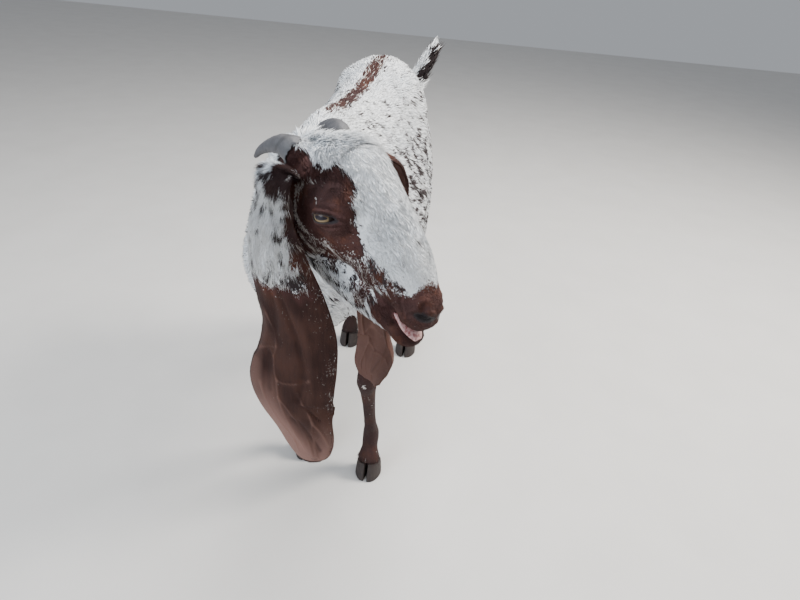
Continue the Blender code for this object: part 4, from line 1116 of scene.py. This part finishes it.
def put_ear_marks(ear, flip, points, down, across, outer):
    """Stores an ear's markings and its pale share, which is bare skin and painted light; outer is 1 on its
    outer face and 0 in its cup.
    """
    z = points[:, 2]
    if flip < 0:
        edge = 0.004 * np.sin(across * 9) + 0.003 * np.sin(across * 23)
        # The dark root under the horn: dark hair and painted shade under the horn
        root = (z - EAR_DARK_ROOT + edge) * 560 - 24 * smooth_share(-0.02, -0.34, across)
        brown = np.maximum(root, (EAR_WHITE_END - z + edge) * 700 + 3 * across)
        brown = np.maximum(brown, np.where(z > EAR_WHITE_END, (across - 0.62) * 30 - 2, NO_BROWN))
        fleck = 0.22 + 0.46 * smooth_share(EAR_WHITE_END + 0.040, EAR_WHITE_END + 0.018, z)
        fleck = fleck + 0.50 * smooth_share(0.15, 0.50, across)
        fleck = np.maximum(fleck, 0.80 * smooth_share(EAR_DARK_ROOT - 0.040, EAR_DARK_ROOT - 0.010, z))
        # Blacker towards the root: dark hair and painted shade under the horn
        black = 0.15 + 0.45 * smooth_share(EAR_WHITE_END + 0.03, EAR_DARK_ROOT - 0.03, z)
        nick = 0.06 + 0.28 * smooth_share(0.45, 0.9, across) * smooth_share(0.45, 0.55, z)
        # Painted sunlight: the right ear turns pale and rosy low down
        lower = z + 0.012 * np.sin(across * 5) + 0.055 * smooth_share(-0.4, 0.6, across)
        bare_and_painted_light = smooth_share(0.570, 0.470, lower) * 0.95
    else:
        brown = np.full(len(points), 20.0)
        fleck = np.zeros(len(points))
        black = 0.04 + 0.25 * smooth_share(0.40, 0.60, down) * (1 - outer)
        nick = np.full(len(points), 0.06)
        # The left ear's cup: bare inner skin, with painted light making it paler near the root
        cup = (0.45 + 0.35 * smooth_share(0.42, 0.25, down)) * (1 - outer)
        bare_and_painted_light = cup + 0.25 * smooth_share(0.60, 0.50, z)
    put_marks(ear, np.where(outer > 0.5, brown, 20.0), fleck, black, nick, points)
    put_attribute(ear, "bare_and_painted_light", bare_and_painted_light)


def grow_ear(flip, grid, count, rng):
    """Hair on the outer face of an ear, and some on its inner face."""
    sheet, normal, down, across = grid
    rows, columns = down.shape
    upper_part = rng.random(count) < 0.72
    i = np.where(upper_part, 0.46 * rng.random(count), 0.46 + 0.54 * rng.random(count)) * (rows - 2)
    j = rng.random(count) * (columns - 2)
    i0, j0 = i.astype(int), j.astype(int)
    fi, fj = (i - i0)[:, None], (j - j0)[:, None]

    def at(values):
        values = values if values.ndim == 3 else values[:, :, None]
        return ((values[i0, j0] * (1 - fj) + values[i0, j0 + 1] * fj) * (1 - fi)
                + (values[i0 + 1, j0] * (1 - fj) + values[i0 + 1, j0 + 1] * fj) * fi)

    inside = rng.random(count) < (0.10 if flip < 0 else 0.30)
    facing = np.where(inside, -1.0, 1.0)[:, None]
    roots = at(sheet) + at(normal) * facing * 0.0014
    outward = unit(at(normal)) * facing
    d, x = at(down)[:, 0], at(across)[:, 0]
    lie = unit(at(np.gradient(sheet, axis=0))) + np.array((0, 0, -0.2))
    z = roots[:, 2]
    upper = smooth_share(EAR_WHITE_END - 0.02, EAR_WHITE_END + 0.02, z)
    length = 0.0032 + (0.0105 if flip < 0 else 0.003) * upper * (1 - inside)
    width = 0.0008 + 0.0006 * upper
    uv = np.stack([0.03 + 0.94 * d, 0.02 + 0.46 * (x + 1) / 2 + np.where(inside, 0.5, 0.0)], axis=1)
    lift = 0.05 + 0.07 * upper + 0.25 * smooth_share(0.22, 0.08, d)
    name = "ear_coat_left" if flip > 0 else "ear_coat_right"
    piece, per = hair_mesh(name, roots, outward, lie, length, width, lift, uv, rng, bends=0)
    outer = np.repeat(np.where(inside, 0.0, 1.0), per)
    put_ear_marks(piece, flip, np.repeat(roots, per, axis=0), np.repeat(d, per), np.repeat(x, per), outer)
    return piece


def grow_tail(count, rng):
    """Long hair of the tail: dark upper side, white margins and tip, bending towards the tip."""
    line = spline([(*drawn(row[:3]), row[3]) for row in TAIL], 12)
    share = rng.random(count) ** 0.8
    at = 0.12 + 0.86 * share
    k = at * (len(line) - 1)
    k0 = k.astype(int).clip(0, len(line) - 2)
    row = line[k0] + (line[k0 + 1] - line[k0]) * (k - k0)[:, None]
    along = unit(line[k0 + 1, :3] - line[k0, :3])
    across = unit(np.cross(along, np.array((0.0, 1.0, 0.2))))
    other = np.cross(along, across)
    turn = rng.uniform(0, 2 * math.pi, count)
    outward = across * np.cos(turn)[:, None] + other * np.sin(turn)[:, None]
    roots = row[:, :3] + outward * (row[:, 3:4] * 0.95)
    target = drawn(TAIL_TIP)
    pull = unit(target - roots)
    lie = unit(along * 0.7 + pull * 0.5)
    length = 0.030 + 0.016 * rng.random(count)
    length = np.minimum(length, np.linalg.norm(target - roots, axis=1) * 1.02 + 0.004)
    lift = 0.16 + 0.22 * np.abs(np.cos(turn)) * (1 - share)
    uv = np.stack([0.02 + 0.96 * at, 0.02 + 0.96 * turn / (2 * math.pi)], axis=1)
    piece, per = hair_mesh("tail_coat", roots, outward, lie, length, 0.0026, lift, uv, rng, bends=3)
    low, high = (drawn((0, 0, height))[2] for height in TAIL_DARK)
    white = (roots[:, 2] > high) | (roots[:, 2] < low)
    dark = np.where(white, -20.0, 16 - 36 * smooth_share(0.1, 0.7, np.cos(turn)))
    same = np.ones(count * per)
    put_marks(piece, np.repeat(dark, per), 0.12 * same, same, 0.12 * same, np.repeat(roots, per, axis=0))
    return piece


# Materials
class Wire:
    """A shader value: sums on it add the nodes that work them out."""

    def __init__(self, finish, socket):
        self.finish = finish
        self.socket = socket

    def maths(self, operation, first, second=0.0):
        return self.finish.node("ShaderNodeMath", {"operation": operation}, {0: first, 1: second})

    def __add__(self, other):
        return self.maths("ADD", self, other)

    def __radd__(self, other):
        return self.maths("ADD", other, self)

    def __sub__(self, other):
        return self.maths("SUBTRACT", self, other)

    def __rsub__(self, other):
        return self.maths("SUBTRACT", other, self)

    def __mul__(self, other):
        return self.maths("MULTIPLY", self, other)

    def __rmul__(self, other):
        return self.maths("MULTIPLY", other, self)

    def __abs__(self):
        return self.maths("ABSOLUTE", self)


class Finish:
    """A material in the making: its constants are set on the shader, its varying values are wired."""

    def __init__(self, name, **constants):
        self.material = bpy.data.materials.new(name)
        self.material.use_nodes = True
        self.tree = self.material.node_tree
        self.surface = self.tree.nodes["Principled BSDF"]
        for key, value in constants.items():
            self.surface.inputs[key.replace("_", " ")].default_value = value

    def feed(self, socket, value):
        if isinstance(value, Wire):
            self.tree.links.new(value.socket, socket)
        elif isinstance(value, tuple) and len(value) == 3 and socket.type == "RGBA":
            socket.default_value = (*value, 1.0)
        else:
            socket.default_value = value

    def node(self, kind, settings, sockets, out=0):
        made = self.tree.nodes.new(kind)
        for key, value in settings.items():
            setattr(made, key, value)
        for key, value in sockets.items():
            self.feed(made.inputs[key], value)
        return Wire(self, made.outputs[out])

    def attribute(self, name, out=2):
        return self.node("ShaderNodeAttribute", {"attribute_name": name}, {}, out)

    def place(self):
        return self.node("ShaderNodeTexCoord", {}, {}, 3)

    def stretched(self, place, scale):
        return self.node("ShaderNodeMapping", {}, {"Vector": place, "Scale": scale})

    def noise(self, place, scale, detail=2.0, roughness=0.5):
        return self.node("ShaderNodeTexNoise", {}, {"Vector": place, "Scale": scale, "Detail": detail,
                                                    "Roughness": roughness})

    def step(self, value, low, high):
        """0 below low and 1 above high."""
        return self.node("ShaderNodeMapRange", {"interpolation_type": "SMOOTHSTEP"},
                         {"Value": value, "From Min": low, "From Max": high})

    def mix(self, share, first, second):
        return self.node("ShaderNodeMix", {"data_type": "RGBA"}, {0: share, 6: first, 7: second}, 2)

    def tint(self, colour, strength):
        """The colour made lighter or darker by a value."""
        return self.node("ShaderNodeVectorMath", {"operation": "SCALE"}, {0: colour, "Scale": strength})

    def finish(self, colour=None, roughness=None, bump=None, depth=0.001, **others):
        if colour is not None:
            self.feed(self.surface.inputs["Base Color"], colour)
        if roughness is not None:
            self.feed(self.surface.inputs["Roughness"], roughness)
        if bump is not None:
            normal = self.node("ShaderNodeBump", {}, {"Height": bump, "Distance": depth, "Strength": 1.0})
            self.feed(self.surface.inputs["Normal"], normal)
        for key, value in others.items():
            self.feed(self.surface.inputs[key.replace("_", " ")], value)
        return self.material


# Colours; a pair is the darker and the lighter end of one material
WHITE = (0.885, 0.90, 0.915)
SHADED_WHITE = (0.72, 0.745, 0.775)
CHESTNUT = (0.066, 0.026, 0.023)
# A sunlit copy of the chestnut: painted light
SUNLIT_CHESTNUT = (0.125, 0.042, 0.022)
BLACK_BROWN = (0.016, 0.009, 0.010)
FLECK = (0.042, 0.030, 0.031)
WHITE_HAIR = (0.60, 0.56, 0.53)
BARE_SKIN = (0.014, 0.009, 0.011)
LIP_PINK = (0.42, 0.17, 0.15)
LIP_LINING = ((0.30, 0.085, 0.085), (0.66, 0.42, 0.40))
EAR_LEATHER = ((0.022, 0.009, 0.007), (0.046, 0.021, 0.016))
EAR_BARE_AND_SUNLIT = (0.250, 0.140, 0.115)
EAR_VEIN_AND_RIDGE_HIGHLIGHT = (0.27, 0.15, 0.12)
EAR_GROOVE_SHADE = (0.016, 0.009, 0.008)
AMBER = ((0.10, 0.060, 0.026), (0.36, 0.26, 0.13))
IRIS_LID_SHADE = (0.050, 0.026, 0.018)
IRIS_RING = (0.030, 0.018, 0.014)
PUPIL = (0.014, 0.010, 0.016)
LID_EDGE = ((0.012, 0.009, 0.010), (0.050, 0.030, 0.028))
HORN = ((0.045, 0.043, 0.048), (0.150, 0.148, 0.155))
HORN_GROOVE = (0.045, 0.042, 0.044)
HOOF = ((0.015, 0.011, 0.011), (0.052, 0.038, 0.034))
DUST = (0.13, 0.098, 0.080)
FLOOR = ((0.60, 0.585, 0.565), (0.68, 0.665, 0.645))
SKY = (0.80, 0.84, 0.90, 1.0)
SKY_STRENGTH = 0.45

# Lights: name, place, what they aim at, size (m), power (W) and colour
LIGHTS = [
    ("key", (2.2, 0.9, 2.6), (0, -0.1, 0.6), 1.0, 150, (1.0, 0.95, 0.88)),
    ("fill", (-1.6, -2.4, 1.9), (0, -0.2, 0.6), 2.4, 78, (0.81, 0.90, 1.0)),
    ("top", (0.3, 0.3, 3.2), (0, 0, 0.5), 2.0, 112, (1.0, 0.99, 0.97)),
]


def coat_colour(finish):
    """The markings, the same for the skin and for the hair that grows from it, and two of their noises."""
    root = finish.attribute("root", 1)
    brown, fleck = finish.attribute("brown"), finish.attribute("fleck")
    black, nick = finish.attribute("black"), finish.attribute("nick")
    ragged = finish.noise(root, 150.0, 3.0, 0.6)
    spots = finish.noise(root, 105.0, 1.0, 0.4)
    fine = finish.noise(root, 420.0, 1.0, 0.5)
    cloud = finish.noise(root, 22.0, 2.0, 0.5)
    in_brown = finish.step(brown + (ragged - 0.5) * 19.0 + (fine - 0.5) * 5.0, -0.6, 0.8)
    speckled = finish.step(spots + fleck * 0.34 + (fine - 0.5) * 0.34, 0.74, 0.82)
    white_hairs = finish.step(fine + (spots - 0.5) * 0.5 + nick * 0.42, 0.80, 0.86)
    white = finish.mix(finish.step(cloud + (fine - 0.5) * 0.6, 0.35, 0.75), WHITE, SHADED_WHITE)
    # Painted sunlight: cloudy patches of the chestnut turn to a lit copy of it
    brown_with_painted_sun = finish.mix(finish.step(cloud + (ragged - 0.5) * 0.5, 0.45, 0.80), CHESTNUT, SUNLIT_CHESTNUT)
    brown_with_painted_sun = finish.mix(black, brown_with_painted_sun, BLACK_BROWN)
    pale = finish.mix(speckled, white, FLECK)
    dark = finish.mix(white_hairs, brown_with_painted_sun, WHITE_HAIR)
    return finish.mix(in_brown, pale, dark), fine, cloud


def coat_finish():
    """Hair: the markings, each tuft a little lighter or darker, with painted shade that darkens it towards
    its root.
    """
    finish = Finish("coat_hair", IOR=1.45, Specular_IOR_Level=0.35)
    colour, fine, _ = coat_colour(finish)
    shade = finish.attribute("shade")
    share = finish.attribute("share")
    # Painted shade: the share along each tuft darkens its root end, standing in for the shade between tufts
    strength = 0.75 + shade * 0.27 + share * 0.22
    roughness = 0.62 + fine * 0.2
    return finish.finish(finish.tint(colour, strength), roughness)


def skin_finish():
    """Skin under the coat, with the same markings, a nap of short hair, and dark bare places."""
    finish = Finish("skin_nap", IOR=1.45, Specular_IOR_Level=0.30)
    colour, fine, _ = coat_colour(finish)
    dark, pink = finish.attribute("dark"), finish.attribute("pink")
    nap = finish.noise(finish.attribute("root", 1), 900.0, 2.0, 0.6)
    colour = finish.tint(colour, 0.74 + nap * 0.35)
    colour = finish.mix(dark, colour, BARE_SKIN)
    colour = finish.mix(pink, colour, LIP_PINK)
    roughness = finish.node("ShaderNodeMapRange", {}, {"Value": dark, "To Min": 0.75, "To Max": 0.38})
    return finish.finish(colour, roughness, nap + fine, 0.0008)


def ear_finish():
    """Thin leathery ear: markings, dark veined brown with painted highlights on its fold ridges and painted
    shade in its grooves, paler and rosier towards the tip, which on the right ear is painted sunlight.
    """
    finish = Finish("ear_nap", IOR=1.45, Specular_IOR_Level=0.15)
    colour, _, cloud = coat_colour(finish)
    place = finish.place()
    bare_and_painted_light = finish.attribute("bare_and_painted_light")
    streaks = finish.noise(finish.stretched(place, (260.0, 260.0, 40.0)), 1.0, 3.0, 0.6)
    leather = finish.mix(finish.step(cloud + (streaks - 0.5) * 0.5, 0.3, 0.7), *EAR_LEATHER)
    # Pale rosy colour: painted sunlight on the right ear's lower part, bare skin and painted light in the
    # left ear's cup
    leather = finish.mix(bare_and_painted_light, leather, EAR_BARE_AND_SUNLIT)
    brown = finish.step(finish.attribute("brown"), 4.0, 14.0)
    vein_and_fold_height = finish.attribute("vein_and_fold_height")
    # Paler on veins and fold ridges: vein colour with a painted highlight; darker in grooves: painted shade
    leather = finish.mix(finish.step(vein_and_fold_height, 0.20, 1.6) * 0.42, leather, EAR_VEIN_AND_RIDGE_HIGHLIGHT)
    leather = finish.mix(finish.step(vein_and_fold_height, -0.2, -1.3) * 0.7, leather, EAR_GROOVE_SHADE)
    colour = finish.mix(brown * 0.85, colour, leather)
    pores = finish.noise(place, 1400.0, 2.0, 0.6)
    return finish.finish(colour, 0.58 + streaks * 0.22, pores + streaks * 1.2, 0.0004)


def eye_finish():
    """Amber iris with a level dark pupil and painted shade of the upper lid on its top, under a clear wet
    surface.
    """
    finish = Finish("eye_glass", Roughness=0.30, Coat_Weight=0.28, Coat_Roughness=0.03, IOR=1.34)
    gaze = finish.attribute("gaze", 1)
    along, up = (finish.node("ShaderNodeSeparateXYZ", {}, {0: gaze}, k) for k in range(2))
    fibres = finish.noise(finish.stretched(gaze, (18.0, 18.0, 2.0)), 1.0, 3.0, 0.7)
    flat = abs(up) * 2.6
    pupil = finish.step(along * along * 0.95 + flat * flat * 1.5, 0.34, 0.26)
    ring = finish.step(along * along + up * up + finish.step(along, 0.45, 0.75) * 0.5, 0.60, 0.80)
    amber = finish.mix(fibres, *AMBER)
    # Painted shade: the upper part of the iris darkens as if under the lid
    amber = finish.mix(finish.step(up, -0.04, 0.20) * 0.9, amber, IRIS_LID_SHADE)
    colour = finish.mix(ring, amber, IRIS_RING)
    colour = finish.mix(pupil, colour, PUPIL)
    return finish.finish(colour)


def horn_finish():
    """Dull slate horn with growth rings and fine lengthwise grain."""
    finish = Finish("horn_keratin", IOR=1.5, Specular_IOR_Level=0.45)
    place = finish.place()
    grain = finish.noise(finish.stretched(place, (500.0, 120.0, 500.0)), 1.0, 3.0, 0.6)
    cloud = finish.noise(place, 60.0, 3.0, 0.6)
    rings = finish.attribute("ring")
    colour = finish.mix(cloud, *HORN)
    colour = finish.mix(finish.step(rings, 0.55, 0.95) * 0.6, colour, HORN_GROOVE)
    return finish.finish(colour, 0.38 + grain * 0.25, grain + cloud, 0.0006)


def hoof_finish():
    """Dark hoof with level growth lines and patches of dried dust."""
    finish = Finish("hoof_keratin", IOR=1.5, Specular_IOR_Level=0.4)
    place = finish.place()
    lines = finish.noise(finish.stretched(place, (60.0, 60.0, 700.0)), 1.0, 3.0, 0.6)
    cloud = finish.noise(place, 90.0, 3.0, 0.6)
    colour = finish.mix(lines, *HOOF)
    colour = finish.mix(finish.step(cloud, 0.5, 0.8) * 0.3, colour, DUST)
    return finish.finish(colour, 0.55 + cloud * 0.2, lines, 0.0006)


def wet_finish():
    """Moist pink lining of the lip, paler in cloudy patches."""
    finish = Finish("lip_lining", IOR=1.4, Coat_Weight=0.4, Coat_Roughness=0.15)
    cloud = finish.noise(finish.place(), 210.0, 4.0, 0.7)
    colour = finish.mix(finish.step(cloud, 0.36, 0.62), *LIP_LINING)
    return finish.finish(colour, 0.22 + cloud * 0.3, cloud, 0.0012)


def rim_finish():
    """Dark bare edge of the lids, a little moist."""
    finish = Finish("lid_edge", IOR=1.4, Specular_IOR_Level=0.5)
    cloud = finish.noise(finish.place(), 700.0, 2.0, 0.6)
    colour = finish.mix(cloud, *LID_EDGE)
    return finish.finish(colour, 0.35 + cloud * 0.2, cloud, 0.0003)


def dress(piece, material, slot, *nodes):
    """Gives a finished piece its material and its body, and hides the nodes it stands for; slot is not
    used.
    """
    piece.data.materials.clear()
    piece.data.materials.append(material)
    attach(piece, next(iter(frame["bodies"])))
    if nodes:
        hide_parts(*nodes)


# Horns, hooves and lip
def make_horn(side):
    """The frame's horn made fine, with shallow rings round it."""
    horn = merged_copy(f"horn_fine_{side}", [f"horn_{side}"])
    modify(horn, "SUBSURF", levels=3, render_levels=3)
    points, outward = places(horn), normals(horn)
    start = np.array(head_place(0.006, 0.034 if side == "left" else -0.034, -0.010))
    line = spline(HORN_LEFT if side == "left" else HORN_RIGHT, 8)
    middle = np.array([head_place(f, l if side == "left" else -l, u) for f, l, u in line])
    nearest = np.linalg.norm(points[:, None] - middle[None], axis=2).argmin(1)
    thin = 1 - HORN_SLIMMER * smooth_share(0.15, 0.85, nearest / (len(middle) - 1))
    points = middle[nearest] + (points - middle[nearest]) * thin[:, None]
    reach = np.linalg.norm(points - start, axis=1)
    wave = 0.5 + 0.5 * np.sin(reach * 2 * math.pi / RING_GAP + 3 * np.sin(reach * 150))
    fade = smooth_share(0.060, 0.015, reach)
    put_places(horn, points + outward * ((wave - 0.5) * RING_HEIGHT * fade)[:, None])
    put_attribute(horn, "ring", (1 - wave) * fade)
    horn.data.shade_smooth()
    return horn


def make_hoof(node):
    """The frame's claw with rounded edges and level growth ridges."""
    hoof = merged_copy(node.replace("hoof", "claw"), [node])
    modify(hoof, "BEVEL", width=HOOF_EDGE, segments=2, limit_method="ANGLE", angle_limit=math.radians(50))
    modify(hoof, "SUBSURF", levels=2, render_levels=2, subdivision_type="SIMPLE")
    points, outward = places(hoof), normals(hoof)
    wave = np.sin(points[:, 2] * 2 * math.pi / RIDGE_GAP) * smooth_share(0.002, 0.008, points[:, 2])
    upright = np.abs(outward[:, 2:]) < 0.7
    put_places(hoof, points + outward * (wave * RIDGE_HEIGHT)[:, None] * upright)
    hoof.data.shade_smooth()
    hoof.data.set_sharp_from_angle(angle=math.radians(40))
    return hoof


def make_lining():
    """The frame's inner lip, made smooth."""
    lining = merged_copy("lip_lining", ["inner_lip"])
    modify(lining, "SUBSURF", levels=2, render_levels=2)
    lining.data.shade_smooth()
    return lining


# Camera, floor and light
def add_camera():
    """The camera at the photograph's viewing angle."""
    look = Vector(CAMERA_LOOK).normalized()
    right = look.cross(Vector((0, 0, 1))).normalized()
    up = right.cross(look)
    turned_right = right * math.cos(CAMERA_ROLL) + up * math.sin(CAMERA_ROLL)
    turned_up = up * math.cos(CAMERA_ROLL) - right * math.sin(CAMERA_ROLL)
    data = bpy.data.cameras.new("camera")
    data.lens = CAMERA_LENS
    data.sensor_width = 36.0
    camera = add_object("camera", data)
    turn = Matrix((turned_right, turned_up, -look)).transposed().to_4x4()
    camera.matrix_world = Matrix.Translation(poll + Vector(CAMERA_FROM_POLL)) @ turn
    bpy.context.scene.camera = camera


def add_light(name, place, aim, size, power, colour):
    """A round soft light."""
    data = bpy.data.lights.new(name, "AREA")
    data.shape = "DISK"
    data.size = size
    data.energy = power
    data.color = colour
    turn = (Vector(aim) - Vector(place)).to_track_quat("-Z", "Y").to_matrix().to_4x4()
    add_object(name, data).matrix_world = Matrix.Translation(Vector(place)) @ turn


def add_studio():
    """A plain pale floor, three soft lights and an even sky."""
    bpy.ops.mesh.primitive_plane_add(size=14.0)
    floor = bpy.context.active_object
    floor.name = "floor"
    paper = Finish("floor_paper", Roughness=0.85)
    grain = paper.noise(paper.place(), 6.0, 3.0, 0.5)
    floor.data.materials.append(paper.finish(paper.mix(grain, *FLOOR)))
    for light in LIGHTS:
        add_light(*light)
    world = bpy.data.worlds.new("studio")
    world.use_nodes = True
    background = world.node_tree.nodes["Background"]
    background.inputs["Color"].default_value = SKY
    background.inputs["Strength"].default_value = SKY_STRENGTH
    bpy.context.scene.world = world


def coat_regions(skin):
    """Which of the skin's faces each piece of the coat grows from."""
    centre = places(skin)[read_triangles(skin)].mean(1)
    _, y, z = (centre - SHIFT).T
    head = past_neck(centre) > 0
    left = in_head(centre)[1] > 0
    crown = head & (crown_share(centre) > 0.25)
    neck = ~head & (past_plane(centre, NECK_BASE, NECK_BASE_NORMAL) > 0)
    rest = ~head & ~neck
    low = z < 0.43
    return {
        "crown": crown,
        "face_left": head & left & ~crown,
        "face_right": head & ~left & ~crown,
        "neck": neck,
        "foreleg": rest & low & (y < 0.22),
        "hindleg": rest & low & (y >= 0.22),
        "shoulder": rest & ~low & (y < 0.13),
        "flank": rest & ~low & (y >= 0.13) & (y < 0.33),
        "rump": rest & ~low & (y >= 0.33),
    }


# Pieces of the coat: region, number of tufts, width, how far they stand up, and bends in each
COATS = {
    "crown_coat": ("crown", 6500, 0.0019, 0.20, 1),
    "face_coat_left": ("face_left", 14000, 0.0014, 0.13, 1),
    "face_coat_right": ("face_right", 19000, 0.0013, 0.13, 1),
    "face_nap_left": ("face_left", 15000, 0.0012, 0.09, 0),
    "face_nap_right": ("face_right", 26000, 0.0011, 0.09, 0),
    "neck_coat": ("neck", 12000, 0.0023, 0.16, 1),
    "foreleg_coat": ("foreleg", 17000, 0.0016, 0.09, 0),
    "hindleg_coat": ("hindleg", 16000, 0.0017, 0.09, 0),
    "shoulder_coat": ("shoulder", 16000, 0.0026, 0.16, 1),
    "flank_coat": ("flank", 16000, 0.0027, 0.16, 1),
    "rump_coat": ("rump", 16000, 0.0027, 0.16, 1),
}


def main():
    add_camera()
    add_studio()
    hair, leather = coat_finish(), ear_finish()
    rng = np.random.default_rng(11)
    skin = make_skin()
    mark_piece(skin, places(skin))
    dark, pink = bareness(places(skin))
    put_attribute(skin, "dark", dark)
    put_attribute(skin, "pink", pink)
    skin.data.shade_smooth()
    regions = coat_regions(skin)
    for name, (region, count, width, lift, bends) in COATS.items():
        piece = grow(name, skin, np.where(regions[region])[0], count, width, lift, rng, bends)
        dress(piece, hair, "coat_white")
    dress(skin, skin_finish(), "coat_white", *FLESH, "tail")
    dress(grow_tail(TAIL_TUFTS, rng), hair, "coat_white")
    for flip, side in ((1, "left"), (-1, "right")):
        ear, grid = make_ear(flip)
        dress(grow_ear(flip, grid, EAR_TUFTS[flip], rng), hair, "coat_brown")
        dress(ear, leather, "coat_brown", f"ear_{side}")
    glass, edge, keratin, shell = eye_finish(), rim_finish(), horn_finish(), hoof_finish()
    for flip, side in ((1, "left"), (-1, "right")):
        eyeball = make_eyeball(flip)
        eyeball.data.shade_smooth()
        dress(eyeball, glass, "eye", f"eye_{side}")
        rim = make_lid_rim(flip)
        rim.data.shade_smooth()
        dress(rim, edge, "hoof")
        dress(make_horn(side), keratin, "horn", f"horn_{side}")
    for node in HOOVES:
        dress(make_hoof(node), shell, "hoof", node)
    dress(make_lining(), wet_finish(), "inner_lip", "inner_lip")


main()
